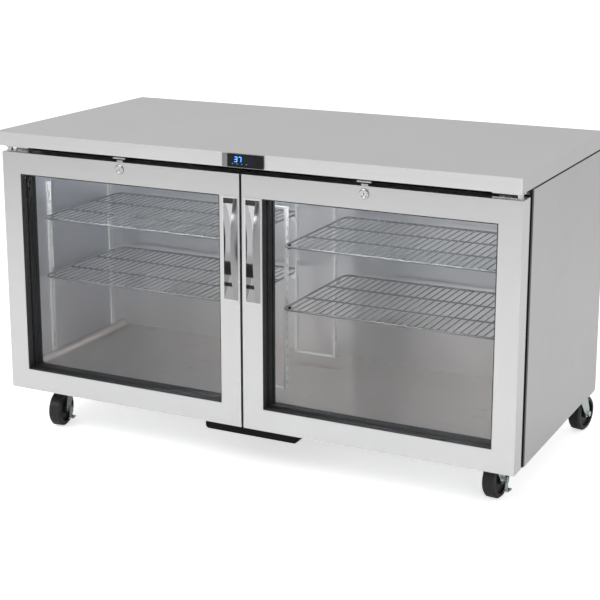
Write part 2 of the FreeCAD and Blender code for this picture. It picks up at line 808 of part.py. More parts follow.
def door_gasket(side):
    """Soft ring on the door's back that meets the front frame."""
    x0 = door_inner + gasket_inset
    x1 = door_outer - gasket_inset
    z0 = door_bottom + gasket_inset
    z1 = door_top - gasket_inset
    outer = box(side * x0, side * x1, door_back, door_back + gasket_thickness, z0, z1)
    inner = box(side * (x0 + gasket_width), side * (x1 - gasket_width), door_back - 1,
                door_back + gasket_thickness + 1, z0 + gasket_width, z1 - gasket_width)
    return outer.cut(inner)


def door_handle(side):
    """Chrome recessed pull: flange, pocket with a curved floor, and a bowed blade over its right side."""
    x0, x1 = handle_place(side)
    z0, z1 = handle_height_span()
    rim = handle_shell
    flange = box(x0, x1, door_face - handle_flange, door_face, z0, z1)
    shell = box(x0 + rim, x1 - rim, door_face, door_face + pocket_depth + handle_shell, z0 + rim, z1 - rim)
    margin = rim * 3
    p0 = x0 + margin
    p1 = p0 + pocket_width
    chord = handle_height - margin * 4
    radius = (chord * chord / 4 + pocket_depth * pocket_depth) / (2 * pocket_depth)
    hollow = rod(radius, (p0, door_face + pocket_depth - radius, (z0 + z1) / 2), (1, 0, 0), pocket_width)
    front_half = box(p0 - 1, p1 + 1, door_face - handle_flange - 1, door_face + pocket_depth + 1, z0, z1)
    body = join([flange, shell]).cut(hollow.common(front_half))
    face = door_face - handle_flange
    return join([body, bowed_blade(p1 - blade_overhang, x1 - rim, face, z0 + margin, z1 - margin)])


def blade_section(x, face, bow, thickness, z0, z1):
    """Closed outline in the plane of one X: an outer and an inner arc, joined by short ends."""
    peak = z0 + (z1 - z0) * 0.62
    seat = face + handle_flange / 2
    tip = face - handle_flange / 2
    outer = Part.Arc(Vec(x, tip, z0), Vec(x, tip - bow, peak), Vec(x, tip, z1)).toShape()
    inner = Part.Arc(Vec(x, seat, z1), Vec(x, tip - bow + thickness, peak), Vec(x, seat, z0)).toShape()
    high = Part.LineSegment(Vec(x, tip, z1), Vec(x, seat, z1)).toShape()
    low = Part.LineSegment(Vec(x, seat, z0), Vec(x, tip, z0)).toShape()
    return Part.Wire([outer, high, inner, low])


def bowed_blade(x0, x1, face, z0, z1):
    """Blade that lies flat on the flange at its right edge and bows out along its free left edge."""
    flat = blade_section(x1, face, handle_flange / 2, handle_flange * 1.4, z0, z1)
    bowed = blade_section(x0, face, blade_bow - handle_flange, blade_thickness, z0, z1)
    return Part.makeLoft([flat, bowed], True, True)


def door_hardware(side):
    """Upper hinge leaf, lower bush and lock barrel, all fixed to the door."""
    x1 = pivot_x + knuckle_radius
    leaf = box(side * (x1 - leaf_length), side * x1, pivot_y - knuckle_radius, pivot_y + knuckle_radius,
               door_top, door_top + leaf_thickness)
    hole = rod(pin_radius + pin_fit, (side * pivot_x, pivot_y, door_top - 1), (0, 0, 1), leaf_thickness + 2)
    bush = rod(knuckle_radius, (side * pivot_x, pivot_y, door_bottom), (0, 0, 1), knuckle_radius * 2)
    bush_hole = rod(pin_radius + pin_fit, (side * pivot_x, pivot_y, door_bottom - 1), (0, 0, 1),
                    knuckle_radius * 1.5 + 1)
    x = lock_x(side)
    z = door_top - lock_drop
    barrel = join([rod(barrel_radius, (x, door_face, z), (0, 1, 0), barrel_length),
                   rod(barrel_rim, (x, door_face - barrel_rim_height, z), (0, 1, 0), barrel_rim_height)])
    bore = rod(plug_radius + plug_fit, (x, door_face - barrel_rim_height - 1, z), (0, 1, 0),
               barrel_length + barrel_rim_height - 1)
    return [leaf.cut(hole), bush.cut(bush_hole), barrel.cut(bore)]


def lock_plug(side):
    """Turning plug with its keyhole."""
    x = lock_x(side)
    z = door_top - lock_drop
    y0 = door_face - barrel_rim_height
    plug = rod(plug_radius, (x, y0, z), (0, 1, 0), barrel_length + barrel_rim_height - 3)
    slot = box(x - 0.9, x + 0.9, y0 - 1, y0 + 12, z - plug_radius * 0.6, z + plug_radius * 0.6)
    return plug.cut(slot)


def lock_bolt(side):
    """Flat bolt that rises out of the door's top edge."""
    x = lock_x(side)
    z0 = door_top - lock_drop + barrel_radius + running_gap
    return box(x - bolt_width / 2, x + bolt_width / 2, bolt_y() - bolt_thickness / 2,
               bolt_y() + bolt_thickness / 2, z0, door_top + bolt_show)


# ---------------------------------------------------------------- fixed hinge and lock parts
def hinge_brackets():
    """Upper leaves under the worktop and lower brackets under the base, each with its pin."""
    x1 = pivot_x + knuckle_radius
    low = door_top + leaf_thickness + running_gap
    high = edge_bottom - door_top_gap / 2 + leaf_thickness
    knuckle = rod(knuckle_radius, (pivot_x, pivot_y, low), (0, 0, 1), high - low)
    plate = box(x1 - leaf_length, x1, pivot_y - knuckle_radius, frame_face, high - leaf_thickness, high)
    tab = box(x1 - leaf_length, x1, frame_face - leaf_thickness, frame_face, low, edge_bottom - 1)
    pin = rod(pin_radius, (pivot_x, pivot_y, door_top + running_gap), (0, 0, 1), high - door_top)
    upper = join([knuckle, plate, tab, pin])
    under = cabinet_bottom - leaf_thickness
    foot = box(x1 - leaf_length / 2 - knuckle_radius, x1, pivot_y - knuckle_radius,
               frame_back + leaf_length / 2, under, cabinet_bottom)
    low_pin = rod(pin_radius, (pivot_x, pivot_y, under), (0, 0, 1), leaf_thickness + door_bottom_gap + knuckle_radius)
    lower = join([foot, low_pin])
    return [upper, mirror_x(upper), lower, mirror_x(lower)]


def strike_plates():
    """Slotted plates above the doors that receive the lock bolts."""
    plates = []
    z0 = door_top + bolt_show + strike_thickness
    z1 = z0 + strike_thickness
    half = strike_width / 2
    for x in (lock_left_x, lock_right_x):
        plate = box(x - half, x + half, bolt_y() - bolt_thickness * 1.5, frame_face, z0, z1)
        tab = box(x - half, x + half, frame_face - strike_thickness, frame_face, z0, edge_bottom - 1)
        slot = box(x - bolt_width / 2 - running_gap * 4, x + bolt_width / 2 + running_gap * 4,
                   bolt_y() - bolt_thickness / 2 - running_gap * 3,
                   bolt_y() + bolt_thickness / 2 + running_gap * 3, z0 - 1, z1 + 1)
        plates.append(join([plate, tab]).cut(slot))
    return plates


# ---------------------------------------------------------------- casters
def caster_spots():
    """Name, X and Y of each swivel."""
    y0 = front + caster_front_inset
    y1 = back - caster_rear_inset
    return {"front_left": (-caster_front_x, y0), "front_right": (caster_front_x, y0),
            "rear_left": (-caster_rear_x, y1), "rear_right": (caster_rear_x, y1)}


def caster_plates():
    """Mounting plate and kingpin of each caster."""
    pieces = []
    top = cabinet_bottom
    for name, (x, y) in caster_spots().items():
        reach = min(caster_plate_x / 2, cabinet_x - abs(x))
        shift = (caster_plate_x / 2 - reach) * (-1 if x > 0 else 1)
        rear = min(y + caster_plate_y / 2, cabinet_back)
        plate = box(x - caster_plate_x / 2 + shift, x + caster_plate_x / 2 + shift,
                    rear - caster_plate_y, rear, top - caster_plate, top)
        pin = rod(kingpin_radius, (x, y, fork_top() - fork_head_height()), (0, 0, 1),
                  top - fork_top() + fork_head_height())
        pieces.append(join([plate, pin]))
    return pieces


def fork_top():
    """Top of the fork head, just under the mounting plate."""
    return cabinet_bottom - caster_plate - swivel_gap


def fork_head_height():
    """Fork head, from its top down to just above the wheel."""
    return fork_head


def caster_axis(name):
    """Swivel point on the floor and the heading of the trail."""
    x, y = caster_spots()[name]
    return Vec(x, y, 0), headings[name]


def place_caster(shape, name):
    """Turn a shape built with its trail along +X to the caster's heading and move it there."""
    spot, heading = caster_axis(name)
    shape.rotate(Vec(0, 0, 0), Vec(0, 0, 1), heading)
    return shape.translated(spot)


def fork_leg_y():
    """Inside face of each fork leg."""
    return wheel_width / 2 + fork_clear


def caster_fork(name):
    """Swivel head, two legs and the axle bolt."""
    head_low = fork_top() - fork_head_height()
    head = rod(fork_head_radius, (0, 0, head_low), (0, 0, 1), fork_head_height())
    bore = rod(kingpin_radius + axle_fit, (0, 0, head_low - 1), (0, 0, 1), fork_head_height() + 2)
    y0 = fork_leg_y()
    y1 = y0 + fork_plate
    outline = [(-fork_head_radius * 0.6, fork_top()), (fork_head_radius * 0.75, fork_top()),
               (trail + 9, wheel_radius + 12), (trail + 9, wheel_radius - 9), (trail - 9, wheel_radius - 9),
               (-fork_head_radius * 0.6, head_low - 6)]
    points = [Vec(x, y0, z) for x, z in outline]
    leg = Part.Face(Part.makePolygon(points + points[:1])).extrude(Vec(0, fork_plate, 0))
    other = leg.translated(Vec(0, -y0 - y1, 0))
    axle = rod(axle_radius, (trail, -y1 - 2, wheel_radius), (0, 1, 0), y1 * 2 + 4)
    cap = rod(8.0, (trail, y1, wheel_radius), (0, 1, 0), 6.0)
    nut = rod(8.0, (trail, -y1 - 6, wheel_radius), (0, 1, 0), 6.0)
    return place_caster(join([head, leg, other, axle, cap, nut]).cut(bore), name)


def caster_wheel(name):
    """Solid tyre on a recessed wheel, bored for its axle."""
    half = wheel_width / 2
    edge = tyre_edge
    rim = wheel_radius - 13.0
    hub = 14.0
    sink = 7.0
    bore = axle_radius + axle_fit
    profile = [(bore, -half), (hub, -half), (hub, -half + sink), (rim, -half + sink), (rim, -half),
               (wheel_radius - edge, -half), (wheel_radius, -half + edge), (wheel_radius, half - edge),
               (wheel_radius - edge, half), (rim, half), (rim, half - sink), (hub, half - sink),
               (hub, half), (bore, half)]
    points = [Vec(r, y, 0) for r, y in profile]
    wheel = Part.Face(Part.makePolygon(points + points[:1])).revolve(Vec(0, 0, 0), Vec(0, 1, 0), 360)
    return place_caster(wheel.translated(Vec(trail, 0, wheel_radius)), name)


def brake_hand(name):
    """Which side of the wheel carries the brake, in the caster's own frame."""
    return -1 if headings[name] > 0 else 1


def caster_brake(name):
    """Side lever with a foot pad, pivoting on the axle bolt's line below the fork leg."""
    y1 = fork_leg_y() + fork_plate
    hand = brake_hand(name)
    pivot = brake_pivot_local()
    low = y1 + 6.5
    arm = box(pivot.x - 7, pivot.x + 7, low, low + 3, pivot.z - 24, pivot.z + 9)
    pad = box(pivot.x - 12, pivot.x + 12, low, low + 12, pivot.z - 27, pivot.z - 24)
    eye = rod(4.0 + pin_fit, (pivot.x, low - 1, pivot.z), (0, 1, 0), 5)
    lever = join([arm, pad]).cut(eye)
    if hand < 0:
        lever = lever.mirror(Vec(0, 0, 0), Vec(0, 1, 0))
    return place_caster(lever, name)


def brake_pivot_local():
    """Brake pivot in the caster's frame: the end of the axle bolt."""
    return Vec(trail, 0, wheel_radius)


def brake_stud(name):
    """Stud on the fork that the brake lever turns on, with its retaining head."""
    y1 = fork_leg_y() + fork_plate + 6.0
    pivot = brake_pivot_local()
    stud = join([rod(4.0, (pivot.x, y1 - 1, pivot.z), (0, 1, 0), 4.8),
                 rod(6.5, (pivot.x, y1 + 3.8, pivot.z), (0, 1, 0), 2.5)])
    if brake_hand(name) < 0:
        stud = stud.mirror(Vec(0, 0, 0), Vec(0, 1, 0))
    return place_caster(stud, name)


# ---------------------------------------------------------------- write every node
def build_cabinet():
    """Everything fixed to the cabinet."""
    export("worktop", worktop())
    export("side_panels", side_panels())
    export("base_plate", base_plate())
    export("foam_insulation", foam_insulation())
    export("liner_walls", liner_walls())
    export("liner_floor", liner_floor())
    export("front_frame", front_frame())
    export("back_panel", back_panel())
    export("rear_grille", rear_grille())
    export("base_pan", base_pan())
    export("shelf_pilasters", shelf_pilasters())
    export("shelf_clips", shelf_clips())
    for level, height in zip(("lower", "upper"), shelf_heights):
        right = shelf(height)
        export("shelf_" + level + "_right", right)
        export("shelf_" + level + "_left", mirror_x(right))
    export("light_bars", light_bars())
    export("hinge_brackets", hinge_brackets())
    export("strike_plates", strike_plates())
    housing, window, cap = display_pieces()
    export("display_housing", housing)
    export("display_window", window)
    export("display_end_cap", cap)


def build_cooling():
    """Cooling unit, inside and behind the cabinet."""
    export("evaporator_cover", evaporator_cover())
    export("evaporator_coil", evaporator_coil())
    export("evaporator_fan", evaporator_fan())
    export("fan_motors", fan_motors())
    export("condenser_coil", condenser_coil())
    export("condenser_shroud", condenser_shroud())
    export("condenser_fan", condenser_fan())
    export("compressor", compressor())
    export("refrigerant_lines", refrigerant_lines())
    export("electrical_box", electrical_box())
    export("condensate_pan", condensate_pan())


def build_doors():
    """Two doors that differ only in side and handle place."""
    for name, side in (("left", -1), ("right", 1)):
        export("door_skin_" + name, door_skin(side))
        export("door_reveal_" + name, door_reveal(side))
        export("door_glass_" + name, door_glass(side))
        export("door_gasket_" + name, door_gasket(side))
        export("door_handle_" + name, door_handle(side))
        export("door_hardware_" + name, door_hardware(side))
        export("lock_plug_" + name, lock_plug(side))
        export("lock_bolt_" + name, lock_bolt(side))


def build_casters():
    """Four swivel casters; the front two have brakes."""
    export("caster_plates", caster_plates())
    for name in caster_spots():
        fork = caster_fork(name)
        if name.startswith("front"):
            fork = fork.fuse(brake_stud(name))
            export("caster_brake_" + name, caster_brake(name))
        export("caster_fork_" + name, fork)
        export("caster_wheel_" + name, caster_wheel(name))


build_cabinet()
build_cooling()
build_doors()
build_casters()
print("worktop front", front, "door face", door_face, "door back", door_back, "frame", frame_face, frame_back)
print("inner x", inner_x, "bottom", inner_bottom, "top", inner_top, "back", inner_back, "unit", unit_front)
print("pivot", pivot_x, pivot_y, "cabinet back", cabinet_back, "back", back)
for name, (x, y) in caster_spots().items():
    print("swivel", name, x, y, headings[name])
print("evaporator fan", fan_height(), "condenser fan", condenser_fan_centre())
print("bolt y", bolt_y(), "handles", handle_place(-1), handle_place(1), handle_height_span())
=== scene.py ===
# %% [markdown]
# # A two-door reach-in refrigerator
# The cabinet, doors, hinges, shelves and casters arrive as a finished CAD frame. This lesson gives every
# surface its finish, adds the parts that are better drawn as surfaces, and lights the result.
# We start by loading the frame and keeping its box, so that we can print later how far the box moved.

# %% Load the frame
import bpy
import math
import numpy as np
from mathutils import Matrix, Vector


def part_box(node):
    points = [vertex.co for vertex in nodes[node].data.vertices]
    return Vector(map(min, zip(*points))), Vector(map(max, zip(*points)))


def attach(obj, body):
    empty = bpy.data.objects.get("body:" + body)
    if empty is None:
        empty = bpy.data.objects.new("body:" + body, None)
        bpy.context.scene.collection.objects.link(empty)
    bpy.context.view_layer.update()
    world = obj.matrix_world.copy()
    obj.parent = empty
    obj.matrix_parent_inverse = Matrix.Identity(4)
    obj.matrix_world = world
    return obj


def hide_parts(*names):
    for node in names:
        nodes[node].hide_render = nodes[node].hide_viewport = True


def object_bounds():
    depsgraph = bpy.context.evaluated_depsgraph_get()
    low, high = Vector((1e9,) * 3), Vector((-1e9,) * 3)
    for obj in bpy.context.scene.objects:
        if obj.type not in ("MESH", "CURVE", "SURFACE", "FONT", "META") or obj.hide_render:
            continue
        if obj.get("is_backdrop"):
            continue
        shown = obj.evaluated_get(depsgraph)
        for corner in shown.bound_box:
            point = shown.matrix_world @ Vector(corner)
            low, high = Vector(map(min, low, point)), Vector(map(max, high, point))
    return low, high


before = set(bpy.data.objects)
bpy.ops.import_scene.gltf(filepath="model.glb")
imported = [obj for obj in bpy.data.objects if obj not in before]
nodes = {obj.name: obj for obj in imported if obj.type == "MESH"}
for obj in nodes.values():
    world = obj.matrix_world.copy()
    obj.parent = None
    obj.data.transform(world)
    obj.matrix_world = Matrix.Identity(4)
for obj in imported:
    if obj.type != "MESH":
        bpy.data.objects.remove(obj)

cad_low, cad_high = [list(corner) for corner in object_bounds()]
print(len(nodes), "CAD nodes, box", cad_low, cad_high)

# %% [markdown]
# Everything new is placed from the CAD boxes. A tiny helper turns a node's two corners into plain numbers,
# which keeps the rest of the lesson short.

# %% Read places from the CAD
def corners(node):
    """Lowest and highest corner of a CAD node as two lists of X, Y, Z in metres."""
    low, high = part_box(node)
    return list(low), list(high)


door_low, door_high = corners("door_skin_right")
face_y = door_low[1]
frame_back_y = corners("front_frame")[1][1]
window_low, window_high = corners("display_window")
top_front_y = corners("worktop")[0][1]
print("door face at Y", round(face_y, 4), "and back at Y", round(door_high[1], 4))

# %% [markdown]
# ## The camera
# A machine like this is usually shown from a little above, off to one side, with a long lens. We place the
# camera by its position, turn and tilt, typed as numbers, so that the view can be reasoned about. A small
# lens shift makes the uprights lean together a little less. Another way is to track the camera to an empty,
# but then the framing depends on where that empty sits.

# %% Place the camera
camera_place = (1.805279, -3.650811, 1.546398)    # metres
camera_turn, camera_tilt = 26.503, 13.063         # degrees
sensor_width = 36.0                               # millimetres
focal_share = 1470.975 / 600.0                    # focal length as a share of the sensor's width
lens_shift = -0.12
farthest_seen = 200.0
camera_data = bpy.data.cameras.new("studio_camera")
camera_data.sensor_width = sensor_width
camera_data.lens = focal_share * sensor_width
camera_data.shift_y = lens_shift
camera_data.clip_end = farthest_seen
camera = bpy.data.objects.new("studio_camera", camera_data)
camera.location = camera_place
camera.rotation_euler = (math.radians(90.0 - camera_tilt), 0.0, math.radians(camera_turn))
bpy.context.scene.collection.objects.link(camera)
bpy.context.scene.camera = camera
print("lens", round(camera_data.lens, 1), "mm")

# %% [markdown]
# ## Surfaces as arrays
# Each new piece is one or more grids of points. A grid is a function of two parameters, worked out for all
# points at once with numpy. This helper joins grids into a mesh, and turns the faces over if the shape's
# signed volume comes out negative, so that all faces point outwards.

# %% Turn grids into a mesh
def grid_faces(rows, columns, wrap_rows, wrap_columns):
    """Quads of a rows by columns grid; wrap closes a direction on itself."""
    i = np.arange(rows if wrap_rows else rows - 1)
    j = np.arange(columns if wrap_columns else columns - 1)
    a, b = np.meshgrid(i, j, indexing="ij")
    c, d = (a + 1) % rows, (b + 1) % columns
    quads = np.stack([a * columns + b, c * columns + b, c * columns + d, a * columns + d], axis=-1)
    return quads.reshape(-1, 4)


def signed_volume(points, quads):
    """Sum over triangles of a . (b x c) / 6, which is positive when faces point outwards."""
    a, b, c, d = (points[quads[:, k]] for k in range(4))
    first = np.einsum("ij,ij->i", a, np.cross(b, c))
    second = np.einsum("ij,ij->i", a, np.cross(c, d))
    return (first.sum() + second.sum()) / 6.0


def piece_from_grids(name, grids, body, material, smooth=True):
    """One object out of grids; each grid is (points, wrap_rows, wrap_columns) and has capped open rows."""
    points, faces, offset = [], [], 0
    for array, wrap_rows, wrap_columns in grids:
        rows, columns = array.shape[:2]
        flat = array.reshape(-1, 3)
        quads = grid_faces(rows, columns, wrap_rows, wrap_columns)
        middle = flat.mean(0)
        flip = signed_volume(flat - middle, quads) < 0
        if flip:
            quads = quads[:, ::-1]
        faces += (quads + offset).tolist()
        if not wrap_rows and wrap_columns:
            first = np.arange(columns) + offset
            last = first + (rows - 1) * columns
            step = -1 if flip else 1
            faces += [first[::step].tolist(), last[::-step].tolist()]
        points.append(flat)
        offset += len(flat)
    mesh = bpy.data.meshes.new(name)
    mesh.from_pydata(np.concatenate(points).tolist(), [], faces)
    mesh.validate()
    mesh.polygons.foreach_set("use_smooth", np.full(len(mesh.polygons), smooth))
    mesh.materials.append(material)
    piece = bpy.data.objects.new(name, mesh)
    bpy.context.scene.collection.objects.link(piece)
    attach(piece, body)
    return piece


# %% [markdown]
# Three shapes cover nearly all the small parts. A tube follows a flat path, a turned part spins a profile
# about an axis, and a mitred ring carries a profile round a rectangle, as a glazing trim does.

# %% Tube, turned part and mitred ring
def tube(path, radius, normal, sides=8, closed=False):
    """Tube: each path point plus radius times (cos t side + sin t normal), side being tangent x normal."""
    path = np.asarray(path, float)
    normal = np.asarray(normal, float)
    if closed:
        tangent = np.roll(path, -1, 0) - np.roll(path, 1, 0)
    else:
        tangent = np.gradient(path, axis=0)
    tangent /= np.linalg.norm(tangent, axis=1, keepdims=True)
    side = np.cross(tangent, normal)
    t = np.linspace(0.0, 2.0 * np.pi, sides, endpoint=False)
    ring = np.cos(t)[None, :, None] * side[:, None, :] + np.sin(t)[None, :, None] * normal
    return path[:, None, :] + radius * ring, closed, True


def turned(centre, axis, profile, sides=32):
    """Turned part: profile rows of (distance along axis, radius), spun about the axis through centre."""
    axis = np.asarray(axis, float)
    helper = np.array([0.0, 0.0, 1.0]) if abs(axis[2]) < 0.9 else np.array([1.0, 0.0, 0.0])
    across = np.cross(axis, helper)
    across /= np.linalg.norm(across)
    up = np.cross(axis, across)
    along, radius = np.asarray(profile, float).T
    t = np.linspace(0.0, 2.0 * np.pi, sides, endpoint=False)
    spin = np.cos(t)[:, None] * across + np.sin(t)[:, None] * up
    points = np.asarray(centre, float) + along[:, None, None] * axis + radius[:, None, None] * spin[None]
    return points, False, True


def mitred_ring(x0, x1, z0, z1, profile):
    """Ring round an XZ rectangle: profile rows of (Y, inset towards the middle), closed both ways."""
    y, inset = np.asarray(profile, float).T
    corner_x = np.stack([x0 + inset, x1 - inset, x1 - inset, x0 + inset], axis=1)
    corner_z = np.stack([z0 + inset, z0 + inset, z1 - inset, z1 - inset], axis=1)
    corner_y = np.repeat(y[:, None], 4, axis=1)
    return np.stack([corner_x, corner_y, corner_z], axis=-1), True, True


def rounded_rectangle(x0, x1, y0, y1, z, radius, steps=7):
    """Closed path: four quarter circles joined by the straight sides, at one height."""
    t = np.linspace(0.0, np.pi / 2.0, steps)
    centres = [(x1 - radius, y1 - radius, 0), (x0 + radius, y1 - radius, 1),
               (x0 + radius, y0 + radius, 2), (x1 - radius, y0 + radius, 3)]
    arcs = []
    for cx, cy, quarter in centres:
        angle = t + quarter * np.pi / 2
        x, y = cx + radius * np.cos(angle), cy + radius * np.sin(angle)
        arcs.append(np.stack([x, y, np.full(steps, z)], axis=1))
    return np.concatenate(arcs)


print("shapes ready: tube, turned, mitred_ring")

# %% [markdown]
# ## Finishes as node groups
# Brushed steel is a sheet scratched one way by an abrasive belt. Long thin noise does this well: we stretch
# the object's own coordinates so that the noise is over a hundred times finer across the grain than along
# it. An image texture would need unwrapping, and this does not. Several finishes share the effect, so it is
# a shader node group with named inputs.

# %% Helpers for node groups
def new_group(name, inputs, outputs):
    """Empty shader node group with named sockets; returns the group, its input node and its output node."""
    group = bpy.data.node_groups.new(name, "ShaderNodeTree")
    for label, kind, value in inputs:
        socket = group.interface.new_socket(label, in_out="INPUT", socket_type=kind)
        socket.default_value = value
    for label, kind in outputs:
        group.interface.new_socket(label, in_out="OUTPUT", socket_type=kind)
    return group, group.nodes.new("NodeGroupInput"), group.nodes.new("NodeGroupOutput")


def add(tree, kind, links=None, **settings):
    """Node with settings; links maps an input name or index to a socket or a plain value."""
    node = tree.nodes.new(kind)
    for key, value in settings.items():
        setattr(node, key, value)
    for key, value in (links or {}).items():
        if isinstance(value, bpy.types.NodeSocket):
            tree.links.new(value, node.inputs[key])
        else:
            node.inputs[key].default_value = value
    return node


def calc(tree, operation, *values):
    """Result of one Math node; values are sockets or numbers, in order."""
    return add(tree, "ShaderNodeMath", dict(enumerate(values)), operation=operation).outputs[0]


def place_in(tree, coordinates="Object"):
    """Where a point of the surface lies, in the piece's own coordinates."""
    return add(tree, "ShaderNodeTexCoord").outputs[coordinates]


def split(tree, place):
    """X, Y and Z of a place as three named outputs."""
    return add(tree, "ShaderNodeSeparateXYZ", {0: place}).outputs


def noise(tree, place, scale, **settings):
    """Noise from 0 to 1 at a place; settings are the texture's other inputs."""
    return add(tree, "ShaderNodeTexNoise", {"Vector": place, "Scale": scale, **settings}).outputs["Fac"]


def spread(tree, value, low, high):
    """Map a 0 to 1 value to low to high."""
    ends = {"Value": value, "To Min": low, "To Max": high}
    return add(tree, "ShaderNodeMapRange", ends).outputs["Result"]


def shade(tree, colour, factor):
    """Multiply a colour by a grey factor."""
    return add(tree, "ShaderNodeVectorMath", {0: colour, 1: factor}, operation="MULTIPLY").outputs["Vector"]


def mix_colours(tree, share, first, second):
    """Colour that goes from first to second as share goes from 0 to 1."""
    return add(tree, "ShaderNodeMix", {0: share, 6: first, 7: second}, data_type="RGBA").outputs[2]


FLOAT, COLOUR, VECTOR = "NodeSocketFloat", "NodeSocketColor", "NodeSocketVector"
WHITE = (1.0, 1.0, 1.0, 1.0)

# %% [markdown]
# The brushed group mixes three noises. The stretched one draws the scratches, a slow one drifts the tone, and
# a finer one varies the gloss, as wiping with a cloth does. A wave texture could draw lines too, but it is
# more regular than a belt's work.

# %% Brushed grain
cloud_scale, wipe_scale = 2.3, 9.0    # about how many patches lie in a metre
cloud_swing = 0.035                   # share by which the tone drifts up and down
wipe_gloss = (-0.05, 0.07)            # roughness added where the sheet is wiped least and most
scratch_gloss = 0.18                  # roughness that follows the scratches
grain, grain_in, grain_out = new_group(
    "brushed_grain",
    [("Colour", COLOUR, (0.7, 0.7, 0.7, 1.0)), ("Stretch", VECTOR, (3.0, 500.0, 500.0)),
     ("Roughness", FLOAT, 0.32), ("Contrast", FLOAT, 0.06)],
    [("Colour", COLOUR), ("Roughness", FLOAT), ("Height", FLOAT)])
place = place_in(grain)
stretched = add(grain, "ShaderNodeVectorMath", {0: place, 1: grain_in.outputs["Stretch"]},
                operation="MULTIPLY").outputs["Vector"]
lines = noise(grain, stretched, 1.0, Detail=3.0, Roughness=0.6)
clouds = noise(grain, place, cloud_scale, Detail=2.0)
wiped = noise(grain, place, wipe_scale, Detail=4.0, Distortion=0.8)
line_shift = calc(grain, "SUBTRACT", lines, 0.5)
line_tone = calc(grain, "MULTIPLY_ADD", line_shift, grain_in.outputs["Contrast"], 1.0)
cloud_tone = spread(grain, clouds, 1.0 - cloud_swing, 1.0 + cloud_swing)
tone = calc(grain, "MULTIPLY", line_tone, cloud_tone)
grain.links.new(shade(grain, grain_in.outputs["Colour"], tone), grain_out.inputs["Colour"])
rough_shift = spread(grain, wiped, *wipe_gloss)
rough_lines = calc(grain, "MULTIPLY_ADD", line_shift, scratch_gloss, rough_shift)
rough = calc(grain, "ADD", rough_lines, grain_in.outputs["Roughness"])
grain.links.new(rough, grain_out.inputs["Roughness"])
grain.links.new(lines, grain_out.inputs["Height"])
print("group", grain.name)

# %% [markdown]
# Moulded plastic, paint and plated steel are never perfectly even either. A second group adds the fine
# orange-peel of a moulding or a paint coat, a slow drift in tone, and a little dust that settles as paler
# specks. Its strengths and scale are inputs, so one group serves about two dozen finishes.

# %% Coat with peel and dust
drift_scale, speck_scale = 6.0, 160.0
speck_from, speck_full = 0.56, 0.72       # noise values where a speck begins and where it is whole
dust_colour = (0.55, 0.53, 0.5, 1.0)
drift_gloss, dust_gloss = 0.2, 0.5        # roughness that follows the drift and the dust
coat, coat_in, coat_out = new_group(
    "coat_with_peel",
    [("Colour", COLOUR, (0.5, 0.5, 0.5, 1.0)), ("Roughness", FLOAT, 0.4), ("Peel scale", FLOAT, 600.0),
     ("Drift", FLOAT, 0.06), ("Dust", FLOAT, 0.03)],
    [("Colour", COLOUR), ("Roughness", FLOAT), ("Height", FLOAT)])
place = place_in(coat)
peel = noise(coat, place, coat_in.outputs["Peel scale"], Detail=2.0)
slow_shift = calc(coat, "SUBTRACT", noise(coat, place, drift_scale, Detail=3.0), 0.5)
slow_tone = calc(coat, "MULTIPLY_ADD", slow_shift, coat_in.outputs["Drift"], 1.0)
specks = noise(coat, place, speck_scale, Detail=5.0)
speck_range = {"Value": specks, "From Min": speck_from, "From Max": speck_full}
speck_mask = add(coat, "ShaderNodeMapRange", speck_range).outputs["Result"]
dust = calc(coat, "MULTIPLY", speck_mask, coat_in.outputs["Dust"])
plain = shade(coat, coat_in.outputs["Colour"], slow_tone)
coat.links.new(mix_colours(coat, dust, plain, dust_colour), coat_out.inputs["Colour"])
drift_rough = calc(coat, "MULTIPLY_ADD", slow_shift, drift_gloss, coat_in.outputs["Roughness"])
dust_rough = calc(coat, "MULTIPLY_ADD", dust, dust_gloss, drift_rough)
coat.links.new(dust_rough, coat_out.inputs["Roughness"])
coat.links.new(peel, coat_out.inputs["Height"])
print("group", coat.name)

# %% [markdown]
# A finish is then a material with one Principled shader fed by one of the groups. Values that are the same
# all over, such as how metallic it is, are typed straight into the shader.

# %% Two makers of finishes
scratch_bump, scratch_depth = 0.06, 0.0004    # strength, and depth in metres
peel_depth = 0.0005


def finish(name, group, values, bump, bump_distance, **shader_values):
    """Material fed by a group; shader_values are the same all over and go on the shader itself."""
    material = bpy.data.materials.new(name)
    material.use_nodes = True
    tree = material.node_tree
    shader = tree.nodes["Principled BSDF"]
    effect = tree.nodes.new("ShaderNodeGroup")
    effect.node_tree = group
    for label, value in values.items():
        effect.inputs[label].default_value = value
    tree.links.new(effect.outputs["Colour"], shader.inputs["Base Color"])
    tree.links.new(effect.outputs["Roughness"], shader.inputs["Roughness"])
    relief = add(tree, "ShaderNodeBump", {"Strength": bump, "Distance": bump_distance,
                                          "Height": effect.outputs["Height"]})
    tree.links.new(relief.outputs["Normal"], shader.inputs["Normal"])
    for label, value in shader_values.items():
        shader.inputs[label.replace("_", " ")].default_value = value
    return material


def steel(name, grey, stretch, roughness, contrast=0.06, tint=(1.0, 1.0, 1.0)):
    """Brushed stainless sheet with its grain along the axis that has the small stretch value."""
    colour = (grey * tint[0], grey * tint[1], grey * tint[2], 1.0)
    values = {"Colour": colour, "Stretch": stretch, "Roughness": roughness, "Contrast": contrast}
    return finish(name, grain, values, scratch_bump, scratch_depth, Metallic=1.0)


def painted(name, colour, roughness, peel=600.0, drift=0.08, dust=0.03, bump=0.08, **shader_values):
    """Painted, coated or moulded surface."""
    values = {"Colour": (*colour, 1.0), "Roughness": roughness,
              "Peel scale": peel, "Drift": drift, "Dust": dust}
    return finish(name, coat, values, bump, peel_depth, **shader_values)


# %% [markdown]
# Now each finish gets its own values. Sheet metal says which way its grain runs, and a coat says how glossy,
# bumpy, uneven and dusty it is. Metals are grey with Metallic at 1, and their tone is how bright they look.

